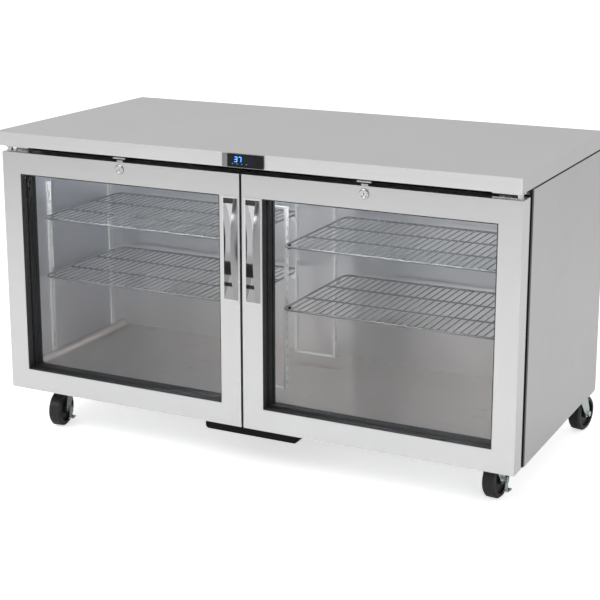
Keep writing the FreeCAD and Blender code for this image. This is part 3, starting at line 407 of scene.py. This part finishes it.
# %% Metals
along_x, along_y = (3.0, 520.0, 520.0), (520.0, 3.0, 520.0)
worktop_steel = steel("worktop_steel", 0.66, along_x, 0.34)
door_steel = steel("door_steel", 0.76, along_x, 0.36, 0.05)
# The side panels are the same stainless as the doors, with the grain along Y; their lower grey is painted
# shade for the side that faces away from the front lamp.
shaded_side_steel = steel("shaded_side_steel", 0.60, along_y, 0.36, 0.05)
floor_steel = steel("floor_steel", 0.60, along_x, 0.3, 0.1, (1.0, 0.93, 0.86))
liner_aluminium = steel("liner_aluminium", 0.80, along_x, 0.38, 0.05, (0.98, 0.99, 1.03))
mill_aluminium = steel("mill_aluminium", 0.78, along_x, 0.33, 0.08)
strike_steel = steel("strike_steel", 0.62, along_x, 0.25, 0.05)
print("sheet metals ready")

# %% [markdown]
# Everything that isn't bare sheet takes the second group, from mirror chrome to rubber. One line for each
# keeps them easy to compare, which a separate node tree for each would not.

# %% Plated, painted and moulded finishes
# painted(name, colour, roughness, peel scale, drift, dust, bump)
metal = {"Metallic": 1.0}
polished_chrome = painted("polished_chrome", (0.66, 0.66, 0.67), 0.03, 90.0, 0.04, 0.004, 0.004, **metal)
bright_plate = painted("bright_plate", (0.72, 0.72, 0.73), 0.16, 260.0, 0.10, 0.01, 0.05, **metal)
zinc_plate = painted("zinc_plate", (0.60, 0.66, 0.64), 0.26, 320.0, 0.22, 0.02, 0.10, **metal)
copper_tube = painted("copper_tube", (0.66, 0.33, 0.20), 0.28, 300.0, 0.35, 0.02, 0.05, **metal)
display_cap = painted("display_cap", (0.34, 0.35, 0.36), 0.30, 500.0, 0.1, 0.01, 0.04, Metallic=0.9)
galvanised = painted("galvanised", (0.50, 0.51, 0.52), 0.42, 40.0, 0.35, 0.05, 0.05, Metallic=0.8)
wire_coat = painted("wire_coat", (0.30, 0.31, 0.32), 0.34, 700.0, 0.12, 0.03, 0.1, Metallic=0.35)
black_frame = painted("black_frame", (0.011, 0.011, 0.012), 0.36, 500.0, 0.2, 0.003)
black_trim = painted("black_trim", (0.014, 0.014, 0.015), 0.30, 420.0, 0.2, 0.004)
black_pan = painted("black_pan", (0.006, 0.006, 0.007), 0.42, 700.0, 0.25, 0.002, 0.2,
                    Specular_IOR_Level=0.12)
soft_vinyl = painted("soft_vinyl", (0.014, 0.014, 0.015), 0.5, 900.0, 0.2, 0.006, 0.12)
wheel_rubber = painted("wheel_rubber", (0.010, 0.010, 0.011), 0.44, 800.0, 0.3, 0.05, 0.18)
display_black = painted("display_black", (0.010, 0.010, 0.012), 0.12, 200.0, 0.2, 0.002, 0.02,
                        Specular_IOR_Level=0.2)
display_glass = painted("display_glass", (0.008, 0.010, 0.018), 0.05, 120.0, 0.2, 0.002, 0.01,
                        Specular_IOR_Level=0.25)
white_coat = painted("white_coat", (0.86, 0.86, 0.85), 0.32, 500.0, 0.05, 0.03)
grille_paint = painted("grille_paint", (0.42, 0.43, 0.44), 0.44, 420.0, 0.1, 0.05)
motor_paint = painted("motor_paint", (0.09, 0.09, 0.10), 0.4, 420.0, 0.2, 0.06)
fan_plastic = painted("fan_plastic", (0.07, 0.07, 0.075), 0.4, 420.0, 0.1, 0.05)
compressor_paint = painted("compressor_paint", (0.015, 0.015, 0.016), 0.2, 160.0, 0.2, 0.03, 0.06)
box_paint = painted("box_paint", (0.34, 0.35, 0.36), 0.42, 420.0, 0.1, 0.05)
tray_plastic = painted("tray_plastic", (0.28, 0.29, 0.30), 0.45, 420.0, 0.1, 0.06)
rigid_foam = painted("rigid_foam", (0.30, 0.30, 0.29), 0.85, 300.0, 0.2, 0.02, 0.5)
print(len(bpy.data.materials), "materials")

# %% [markdown]
# ## Two tones on one piece
# Some pieces need two tones. The foam is made nearly black where it shows at the cabinet's ends and front,
# as painted shade for the dark gaps there, and the lower hinge brackets are painted while the upper ones are
# plated. Splitting the CAD piece would also work, but a mask made from the object's own coordinates keeps it
# whole. Two more tones are set for this studio, not by the material: the worktop's front face gets a painted
# highlight and the pull's blade gets painted shade.

# %% Masks and tones
# The foam's dark tone is painted shade in the gaps, beyond foam_reach and just behind the frame; the hinge's
# is the lower brackets' real black paint.
foam_gap_shade, hinge_black = 0.02, 0.03      # what is left of the colour
foam_reach, foam_front = 0.755, 0.001        # painted beyond this X, and this far behind the frame
# The worktop's front-face factor is a painted highlight, brighter than its steel would look in this light.
front_painted_light, front_skin = 1.42, 0.0015        # tone and depth of the worktop's front face
# The blade's tone is painted shade on the chrome; its added roughness is its satin finish.
blade_painted_shade, blade_satin = 0.52, 0.16         # tone of the pull's blade, and its added roughness
blade_proud = 0.0017                         # how far the blade stands in front of the door
hinge_split_z = 0.4                          # height between the lower and the upper brackets


def open_finish(material):
    """A finish's node tree and its Principled shader."""
    return material.node_tree, material.node_tree.nodes["Principled BSDF"]


def tone_part(material, mask, outside, inside):
    """Multiply the colour by outside where mask is 0 and by inside where it is 1."""
    tree, shader = open_finish(material)
    colour = shader.inputs["Base Color"].links[0].from_socket
    tree.links.new(shade(tree, colour, spread(tree, mask, outside, inside)), shader.inputs["Base Color"])


# Painted shade: the foam turns nearly black where it shows through the gaps at the cabinet's ends and behind
# the front frame.
tree, shader = open_finish(rigid_foam)
place = split(tree, place_in(tree))
ends = calc(tree, "GREATER_THAN", calc(tree, "ABSOLUTE", place["X"]), foam_reach)
front = calc(tree, "LESS_THAN", place["Y"], frame_back_y + foam_front)
tone_part(rigid_foam, calc(tree, "MAXIMUM", ends, front), 1.0, foam_gap_shade)

print("foam painted beyond X", foam_reach)

# %% Worktop, hinge brackets and pulls
# Painted highlight: the worktop's front face is made brighter than its steel, for light this studio doesn't
# bring from low in front.
tree, shader = open_finish(worktop_steel)
front = calc(tree, "LESS_THAN", split(tree, place_in(tree))["Y"], top_front_y + front_skin)
tone_part(worktop_steel, front, 1.0, front_painted_light)

hinge_plate = bright_plate.copy()
hinge_plate.name = "hinge_plate"
tree, shader = open_finish(hinge_plate)
upper = calc(tree, "GREATER_THAN", split(tree, place_in(tree))["Z"], hinge_split_z)
tone_part(hinge_plate, upper, hinge_black, 1.0)
tree.links.new(upper, shader.inputs["Metallic"])

# Painted shade: the blade that stands in front of the door gets a darker tone than the chrome's own.
shaded_pull_chrome = polished_chrome.copy()
shaded_pull_chrome.name = "shaded_pull_chrome"
tree, shader = open_finish(shaded_pull_chrome)
blade = calc(tree, "LESS_THAN", split(tree, place_in(tree))["Y"], face_y - blade_proud)
tone_part(shaded_pull_chrome, blade, 1.0, blade_painted_shade)
gloss = shader.inputs["Roughness"].links[0].from_socket
tree.links.new(calc(tree, "MULTIPLY_ADD", blade, blade_satin, gloss), shader.inputs["Roughness"])
print("two-tone finishes ready")

# %% [markdown]
# ## Glass and lamps
# These need their own handling. The double glazing is thin and clean, so most of the light is simply let
# through with a low alpha, and what is left carries the gloss. A slow noise varies it, as wiping does.
# Full refraction would also work, but it blocks the studio light from the shelves.

# %% Glass, lamp and lit digits
glass_alpha, glass_roughness = (0.015, 0.045), (0.01, 0.05)
glass_tints = ((0.06, 0.07, 0.07, 1.0), (0.11, 0.13, 0.13, 1.0))
glass_gloss = 0.15
wiping_scale, glow_scale, glow_swing = 5.0, 30.0, 0.15


def glazing(name):
    """Clear sheet: alpha drifts a little with wiping marks, and gloss comes from the shader."""
    material = bpy.data.materials.new(name)
    material.use_nodes = True
    tree, shader = open_finish(material)
    wiping = noise(tree, place_in(tree), wiping_scale, Detail=4.0, Distortion=1.2)
    tree.links.new(spread(tree, wiping, *glass_alpha), shader.inputs["Alpha"])
    tree.links.new(spread(tree, wiping, *glass_roughness), shader.inputs["Roughness"])
    tree.links.new(mix_colours(tree, wiping, *glass_tints), shader.inputs["Base Color"])
    shader.inputs["Specular IOR Level"].default_value = glass_gloss
    return material


def lit(name, colour, strength):
    """Lamp surface: emission that varies slightly over the diffuser."""
    material = painted(name, colour, 0.3, 300.0, 0.05, 0.0, 0.02)
    tree, shader = open_finish(material)
    cells = noise(tree, place_in(tree), glow_scale)
    glow = shade(tree, colour, spread(tree, cells, 1.0 - glow_swing, 1.0 + glow_swing))
    tree.links.new(glow, shader.inputs["Emission Color"])
    shader.inputs["Emission Strength"].default_value = strength
    return material


clear_glass = glazing("clear_glass")
lamp_glow = lit("lamp_glow", (0.93, 0.97, 1.0), 24.0)
digit_glow = lit("digit_glow", (0.05, 0.28, 1.0), 3.2)
mark_print = painted("mark_print", (0.45, 0.50, 0.58), 0.35, 300.0, 0.05, 0.0)
print("glass and glow ready")

# %% [markdown]
# ## Dress the CAD pieces
# A CAD piece keeps its shape and only gets a better material. One table says which finish each node gets.

# %% Give every CAD node its finish
finishes = {
    "worktop": worktop_steel, "side_panels": shaded_side_steel, "base_plate": galvanised,
    "foam_insulation": rigid_foam, "liner_walls": liner_aluminium, "liner_floor": floor_steel,
    "front_frame": black_frame, "back_panel": galvanised, "rear_grille": grille_paint,
    "base_pan": black_pan, "shelf_pilasters": white_coat, "shelf_clips": bright_plate,
    "light_bars": lamp_glow, "hinge_brackets": hinge_plate, "strike_plates": strike_steel,
    "display_housing": display_black, "display_window": display_glass, "display_end_cap": display_cap,
    "evaporator_cover": mill_aluminium, "evaporator_coil": mill_aluminium, "fan_motors": motor_paint,
    "condenser_coil": mill_aluminium, "condenser_shroud": grille_paint, "compressor": compressor_paint,
    "refrigerant_lines": copper_tube, "electrical_box": box_paint, "condensate_pan": tray_plastic,
    "caster_plates": zinc_plate, "evaporator_fan": fan_plastic, "condenser_fan": fan_plastic,
}
for side in ("left", "right"):
    finishes["door_skin_" + side] = door_steel
    finishes["door_reveal_" + side] = black_frame
    finishes["door_glass_" + side] = clear_glass
    finishes["door_handle_" + side] = shaded_pull_chrome
    finishes["door_hardware_" + side] = bright_plate
    finishes["lock_plug_" + side] = bright_plate
    finishes["lock_bolt_" + side] = strike_steel
for name in nodes:
    if name.startswith("caster_fork") or name.startswith("caster_brake"):
        finishes[name] = zinc_plate
    if name.startswith("caster_wheel"):
        finishes[name] = wheel_rubber
for name, material in finishes.items():
    for slot in nodes[name].material_slots:
        slot.link = "OBJECT"
        slot.material = material
print(len(finishes), "nodes dressed")

# %% [markdown]
# ## Wire shelves
# Each shelf is a rim of thick round wire bent at the corners, with thin wires welded on top from front to
# back and two stiffeners below. The CAD used square bars to keep the collision simple. Here each wire is a
# tube on a path, computed as arrays. A curve with a bevel would look the same, but arrays give one mesh.

# %% Shelf wires
running_wire, stiffener_wire = 0.0018, 0.0022    # radii
wire_pitch = 0.0212
rim_bend = 0.022                                 # radius of the rim's corners
stiffener_drop, end_drop = 0.0008, 0.0012        # how far each lies below its neighbours


def wire_shelf(level, side):
    """Rim, stiffeners and running wires inside the CAD shelf's box, which it replaces."""
    node = "shelf_" + level + "_" + side
    (x0, y0, z0), (x1, y1, z1) = corners(node)
    rim = (z1 - z0) / 2
    middle = (z0 + z1) / 2
    path = rounded_rectangle(x0 + rim, x1 - rim, y0 + rim, y1 - rim, middle, rim_bend)
    grids = [tube(path, rim, (0, 0, 1), 10, True)]
    z = middle - stiffener_drop
    for share in (1 / 3, 2 / 3):
        y = y0 + share * (y1 - y0)
        grids.append(tube([(x0 + rim, y, z), (x1 - rim, y, z)], stiffener_wire, (0, 0, 1), 8))
    count = int((x1 - x0 - 4 * rim) / wire_pitch)
    spots = np.linspace(x0 + 2 * rim, x1 - 2 * rim, count + 2)[1:-1]
    top = z1 - running_wire
    low = top - end_drop
    near, far = rim * 0.6, rim * 1.6
    for x in spots:
        line = [(x, y0 + near, low), (x, y0 + far, top), (x, y1 - far, top), (x, y1 - near, low)]
        grids.append(tube(line, running_wire, (1, 0, 0), 6))
    piece = piece_from_grids("wires_" + level + "_" + side, grids, "cabinet", wire_coat)
    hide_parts(node)
    return count


for level in ("lower", "upper"):
    for side in ("left", "right"):
        print(level, side, "shelf has", wire_shelf(level, side), "running wires")

# %% [markdown]
# ## Glazing trims and gaskets
# Inside each door's window a black extrusion runs round the edge with fine ribs along it, and behind the
# door a soft bellows gasket holds a magnet. Both have one cross-section carried round a rectangle and mitred
# at the corners, which is exactly what the mitred ring does. The bellows gets its pinches from sin squared.

# %% Ribbed trims and bellows gaskets
def ribbed_profile(y0, y1, ribs, height, base):
    """Closed section: a base strip with round ribs, inset = base + height * |sin| along the depth."""
    depth = np.linspace(0.0, 1.0, ribs * 6 + 1)
    inset = base + height * np.abs(np.sin(depth * np.pi * ribs))
    ridge = np.stack([y0 + (y1 - y0) * depth, inset], axis=1)
    foot = np.array([(y1, 0.0), (y0, 0.0)])
    return np.concatenate([ridge, foot])


pane_overlap = 0.009                     # how far the pane reaches under the door's edge
lip_depth, lip_width = 0.0030, 0.0030    # flat lip in front of the ribs
lip_start, pane_half = 0.0016, 0.0043    # depth behind the door's face, and one pane with its seat
pane_gap = 0.0002                        # kept clear of the front pane
front_ribs = (5, 0.0011, 0.0006)         # how many, their height, and the strip they stand on
inner_ribs = (2, 0.0012, 0.0010)
gasket_width, pinch_depth = 0.018, 0.0022


def glazing_sections(pane_front, pane_back):
    """The two sections of the glazing trim: in front of the panes with a lip, and between the panes."""
    outer = ribbed_profile(face_y + lip_depth, pane_front - pane_gap, *front_ribs)
    lip = [(lip_start, 0.0), (lip_start, lip_width), (lip_depth, lip_width)]
    outer = np.concatenate([outer[:-1], np.array(lip) + (face_y, 0.0)])
    between = ribbed_profile(pane_front + pane_half, pane_back - pane_half, *inner_ribs)
    return outer, between


def bellows_section(y0, y1):
    """Closed section of the gasket: both sides pull in by pinch_depth * sin(3 pi t) squared."""
    t = np.linspace(0.0, 1.0, 13)
    pinch = pinch_depth * np.sin(t * np.pi * 3.0) ** 2
    out = np.stack([y0 + (y1 - y0) * t, pinch], axis=1)
    back = np.stack([y0 + (y1 - y0) * t[::-1], gasket_width - pinch[::-1]], axis=1)
    return np.concatenate([out, back])


for side in ("left", "right"):
    glass_low, glass_high = corners("door_glass_" + side)
    x0, x1 = glass_low[0] + pane_overlap, glass_high[0] - pane_overlap
    z0, z1 = glass_low[2] + pane_overlap, glass_high[2] - pane_overlap
    sections = glazing_sections(glass_low[1], glass_high[1])
    trims = [mitred_ring(x0, x1, z0, z1, section) for section in sections]
    trim = piece_from_grids("glazing_trim_" + side, trims, "door_" + side, black_trim, smooth=False)
    seal_low, seal_high = corners("door_gasket_" + side)
    section = bellows_section(seal_low[1], seal_high[1])
    bellows = mitred_ring(seal_low[0], seal_high[0], seal_low[2], seal_high[2], section)
    seal = piece_from_grids("bellows_gasket_" + side, [bellows], "door_" + side, soft_vinyl, smooth=False)
    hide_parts("door_gasket_" + side)
    print(side, "trim and gasket made")

# %% [markdown]
# ## Pull details
# A small dark sheet of painted shade lies at the top of the chrome pull's finger pocket, on the pocket's
# curved floor, where the pocket's upper end looks dark. The floor is part of a large cylinder, so the sheet
# is a grid whose depth follows the same circle.

# %% Painted-shade sheets in the pulls
pocket_margin, pocket_depth = 0.0048, 0.021      # rim beside the pocket, and its depth
shade_sheet_top, shade_sheet_bottom = 0.0062, 0.0205         # below the pull's upper end
shade_sheet_thick, shade_sheet_sink = 0.0012, 0.0001         # in front of the pocket's floor
shade_sheet_sides = np.array([0.0006, 0.0294])         # across the pocket


def pocket_floor(z, low, high, depth, margin, face):
    """Depth of the pocket floor: face + depth - radius + sqrt(radius^2 - (z - middle)^2)."""
    middle = (low + high) / 2
    chord = (high - low) - 4 * margin
    radius = (chord * chord / 4 + depth * depth) / (2 * depth)
    return face + depth - radius + np.sqrt(radius ** 2 - (z - middle) ** 2)


# Each sheet is painted shade: a dark sheet where the pocket's upper end looks dark, not a part of the pull.
for side in ("left", "right"):
    pull_low, pull_high = corners("door_handle_" + side)
    z = np.linspace(pull_high[2] - shade_sheet_bottom, pull_high[2] - shade_sheet_top, 7)
    floor_y = pocket_floor(z, pull_low[2], pull_high[2], pocket_depth, pocket_margin, face_y)
    outline_y = np.concatenate([floor_y - shade_sheet_thick, floor_y[::-1] - shade_sheet_sink])
    section = np.stack([outline_y, np.concatenate([z, z[::-1]])], axis=1)
    spots = pull_low[0] + pocket_margin + shade_sheet_sides
    grid = np.stack([np.column_stack([np.full(len(section), x), section]) for x in spots])
    plate = piece_from_grids("pull_shade_sheet_" + side, [(grid, False, True)], "door_" + side,
                             black_trim, smooth=False)
    print(side, "end plate at Z", z.min().round(4), "to", z.max().round(4))

# %% [markdown]
# ## Lock faces
# A cam lock shows a rounded chrome ring that sits in a thin shadow line, and a plug with a keyhole. The ring
# is a turned part: its profile is a low half ellipse, so it catches light from every side. The shadow line is
# a thin black ring of its own, because so fine a gap would be lost in the CAD piece.

# %% Lock rings
# All profiles are rows of (distance behind the plug's face, radius).
ring_height, ring_radius, ring_half_width = 0.0016, 0.0102, 0.0027
t = np.linspace(0.0, np.pi, 9)
dome = np.column_stack([-ring_height * np.sin(t), ring_radius + ring_half_width * np.cos(t)])
ring_profile = np.vstack([dome, [(0.0004, 0.0075), (0.0004, 0.0129)]])
# The second profile is a painted shadow: a thin black ring where the gap round the lock face looks dark.
shadow_ring_profile = [(0.0021, 0.0136), (0.0025, 0.0136), (0.0025, 0.0131), (0.0021, 0.0131)]
for side in ("left", "right"):
    plug_low, plug_high = corners("lock_plug_" + side)
    centre = ((plug_low[0] + plug_high[0]) / 2, plug_low[1], (plug_low[2] + plug_high[2]) / 2)
    ring = turned(centre, (0, 1, 0), ring_profile, 40)
    shadow_ring = turned(centre, (0, 1, 0), shadow_ring_profile, 40)
    pieces = [("lock_ring_", ring, polished_chrome, "lock_chrome"),
              ("lock_shadow_ring_", shadow_ring, black_trim, "black_frame")]
    for label, grid, material, slot_name in pieces:
        closed = (grid[0], True, True)
        piece = piece_from_grids(label + side, [closed], "door_" + side, material)
    print(side, "lock ring at", [round(v, 3) for v in centre])

# %% [markdown]
# ## The temperature display
# The readout is a pair of seven-segment digits on a dark window, with four small key marks below. Each
# segment is a flat hexagon, so two digits are a handful of tiny prisms. Text objects would work as well, but
# real displays are built of segments.

# %% Lit digits and key marks
SEGMENTS = {"3": "abgcd", "7": "abc"}


def segment_bar(x, z, length, thick, upright, lean):
    """Outline of one segment: a bar with pointed ends, leaning by lean times height."""
    half, t = length / 2, thick / 2
    along = np.array([-half, -half + t, half - t, half, half - t, -half + t])
    across = np.array([0.0, t, t, 0.0, -t, -t])
    px, pz = (across, along) if upright else (along, across)
    return np.stack([x + px + (z + pz) * lean, z + pz], axis=1)


def prism(outline, y0, y1):
    """Flat outline in XZ pushed from y0 to y1."""
    rows = [np.stack([outline[:, 0], np.full(len(outline), y), outline[:, 1]], axis=1) for y in (y0, y1)]
    return np.stack(rows), False, True


digit_height, digit_width, digit_gap, stroke = 0.0125, 0.0075, 0.0042, 0.0017
digit_lean, first_digit_x, digit_lift = 0.08, 0.0235, 0.003
key_count, first_key_x, key_pitch, key_z = 4, 0.014, 0.0135, 0.005
key_length, key_thick = 0.0034, 0.0012
print_y = window_low[1] - 0.0001
print_front, print_back = print_y - 0.0002, print_y + 0.0001
mid_z = (window_low[2] + window_high[2]) / 2 + digit_lift
h, w = digit_height / 2, digit_width / 2
layout = {"a": (0, h, False), "g": (0, 0, False), "d": (0, -h, False),
          "b": (w, h / 2, True), "c": (w, -h / 2, True)}
bars = []
for index, figure in enumerate("37"):
    cx = window_low[0] + first_digit_x + index * (digit_width + digit_gap)
    for key in SEGMENTS[figure]:
        dx, dz, upright = layout[key]
        outline = segment_bar(dx, dz, h if upright else w * 2, stroke, upright, digit_lean)
        outline += (cx, mid_z)
        bars.append(prism(outline, print_front, print_back))
digits = piece_from_grids("display_digits", bars, "cabinet", digit_glow, smooth=False)
marks = []
for index in range(key_count):
    cx = window_low[0] + first_key_x + index * key_pitch
    outline = segment_bar(0.0, 0.0, key_length, key_thick, False, 0.0)
    outline += (cx, window_low[2] + key_z)
    marks.append(prism(outline, print_front, print_back))
key_marks = piece_from_grids("display_key_marks", marks, "cabinet", mark_print, smooth=False)
print("digits 37 at", round(window_low[0] + first_digit_x, 3))

# %% [markdown]
# ## Fasteners and small fittings
# Screws tell the eye how big a machine is. A pan-head screw is a turned part with a slightly domed head and
# a small recess. The same profile, scaled, serves the hinge leaves, the rear grille and the back panel.

# %% Screw heads
def screw_head(centre, axis, radius):
    """Domed head: radius falls off along the axis, with a shallow cup in the middle as the drive recess."""
    shares = [(-0.20, 0.98), (0.0, 1.0), (0.25, 0.96), (0.45, 0.72), (0.52, 0.42), (0.40, 0.34), (0.28, 0.16)]
    return turned(centre, axis, np.array(shares) * radius, 16)


rear_screw, leaf_screw = 0.0045, 0.003        # radii of the heads
edge_inset, corner_inset = 0.012, 0.03        # from the edges of the grille and the back panel
leaf_spots, leaf_y, leaf_lift = (0.036, 0.056), 0.0196, 0.003    # on the hinge leaf of each door
back, up = (0, 1, 0), (0, 0, 1)
grille_low, grille_high = corners("rear_grille")
panel_low, panel_high = corners("back_panel")
screws = []
for x in np.linspace(grille_low[0] + edge_inset, grille_high[0] - edge_inset, 6):
    for z in (grille_low[2] + edge_inset, grille_high[2] - edge_inset):
        screws.append(screw_head((x, grille_high[1], z), back, rear_screw))
for x in (panel_low[0] + edge_inset, panel_high[0] - edge_inset):
    for z in np.linspace(panel_low[2] + corner_inset, panel_high[2] - corner_inset, 5):
        screws.append(screw_head((x, panel_high[1], z), back, rear_screw))
rear_screws = piece_from_grids("rear_screws", screws, "cabinet", bright_plate)
for side, sign in (("left", -1.0), ("right", 1.0)):
    x_out = sign * max(abs(door_low[0]), abs(door_high[0]))
    leaf = (face_y + leaf_y, door_high[2] + leaf_lift)
    heads = [screw_head((x_out - sign * spot, *leaf), up, leaf_screw) for spot in leaf_spots]
    piece = piece_from_grids("hinge_screws_" + side, heads, "door_" + side, bright_plate)
print(len(screws), "rear screws")

# %% [markdown]
# ## The studio
# A white sweep would hide the horizon, but a very large pale floor does the same from this height and keeps
# the shadow under the casters. The floor glows a little to the camera alone, so that it stays white without
# lighting the machine from below.

# %% Floor
floor_reach, floor_front, floor_back = 60, -6, 60
floor_glow = 0.62
floor_points = [(-floor_reach, floor_front, 0), (floor_reach, floor_front, 0),
                (-floor_reach, floor_back, 0), (floor_reach, floor_back, 0)]
floor_mesh = bpy.data.meshes.new("studio_floor")
floor_mesh.from_pydata(floor_points, [], [(0, 1, 3, 2)])
sweep = painted("studio_floor", (0.90, 0.90, 0.90), 0.9, 60.0, 0.01, 0.0, 0.0)
tree, shader = open_finish(sweep)
shader.inputs["Emission Color"].default_value = WHITE
seen = add(tree, "ShaderNodeLightPath").outputs["Is Camera Ray"]
tree.links.new(calc(tree, "MULTIPLY", seen, floor_glow), shader.inputs["Emission Strength"])
floor_mesh.materials.append(sweep)
floor = bpy.data.objects.new("studio_floor", floor_mesh)
bpy.context.scene.collection.objects.link(floor)
floor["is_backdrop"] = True
print("floor", 2 * floor_reach, "m wide")

# %% [markdown]
# Chrome and steel show what stands around them, so an even white world makes them flat. This world is darker
# in front of the doors, darker below the horizon, and has two nearly black bands in front, one at the horizon
# and one a little above it. No real room is copied: the bands were placed for the reflections in the pulls
# and on the worktop's front face. The camera itself sees plain white.

# %% World
horizon_band, upper_band = (-0.01, 0.06), (0.145, 0.02)    # middle and half height, as ray directions
ground_below, ground_dark = -0.06, 0.5
front_before, front_dark = -0.3, 0.45
darkest = 0.95                                             # how much light a band takes away
world = bpy.data.worlds.new("studio")
bpy.context.scene.world = world
world.use_nodes = True
sky = world.node_tree
ray = split(sky, place_in(sky, "Generated"))
fade = {"Value": ray["Y"], "From Min": -0.6, "From Max": 0.9, "To Min": 1.0, "To Max": 0.62}
sky_glow = add(sky, "ShaderNodeMapRange", fade).outputs["Result"]
in_front = calc(sky, "LESS_THAN", ray["Y"], front_before)
bands = [calc(sky, "COMPARE", ray["Z"], *band) for band in (horizon_band, upper_band)]
dark = calc(sky, "MULTIPLY", calc(sky, "MAXIMUM", *bands), in_front)
dark = calc(sky, "MULTIPLY_ADD", calc(sky, "LESS_THAN", ray["Z"], ground_below), ground_dark, dark)
dark = calc(sky, "MULTIPLY_ADD", in_front, front_dark, dark)
dimmed = calc(sky, "MULTIPLY_ADD", calc(sky, "MINIMUM", dark, 1.0), -darkest, 1.0)
sky_glow = calc(sky, "MULTIPLY", sky_glow, dimmed)
seen = add(sky, "ShaderNodeLightPath").outputs["Is Camera Ray"]
sky.links.new(calc(sky, "MAXIMUM", sky_glow, seen), sky.nodes["Background"].inputs["Strength"])
sky.nodes["Background"].inputs["Color"].default_value = WHITE
print("world", world.name)

# %% [markdown]
# Three area lamps do the shaping: one high in front for the door faces, a faint one overhead, and one on the
# right, near the doors, whose light fades along the side panel. They are hidden from the camera.

# %% Lamps
def soft_lamp(name, place, target, size, power):
    """Area lamp aimed from place at target, in metres, with size as width and height and power in watts."""
    data = bpy.data.lights.new(name, "AREA")
    data.shape = "RECTANGLE"
    data.size, data.size_y = size
    data.energy = power
    lamp = bpy.data.objects.new(name, data)
    place, target = np.array(place, float), np.array(target, float)
    back = (place - target) / np.linalg.norm(place - target)
    turn, tilt = math.atan2(back[0], -back[1]), math.asin(back[2])
    lamp.location = place
    lamp.rotation_euler = (math.pi / 2 - tilt, 0.0, turn)
    lamp.visible_camera = False
    bpy.context.scene.collection.objects.link(lamp)


soft_lamp("front_softbox", (-1.8, -3.4, 3.6), (0.0, -0.3, 0.5), (3.0, 1.6), 80.0)
soft_lamp("top_softbox", (0.3, 0.4, 3.6), (0.0, 0.0, 0.6), (3.0, 2.4), 14.0)
soft_lamp("side_softbox", (2.4, -2.4, 1.3), (0.76, -0.38, 0.5), (0.8, 1.6), 18.0)
bpy.context.scene.view_settings.view_transform = "Standard"
print("studio ready")

# %% [markdown]
# ## Measure the size and finish
# The box is measured again, and how far its corners moved from the CAD box is printed.

# %% Keep both boxes and finish
low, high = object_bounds()
for name, new, old in (("low", low, cad_low), ("high", high, cad_high)):
    print(name, "corner moved by", [round(a - b, 5) for a, b in zip(new, old)])
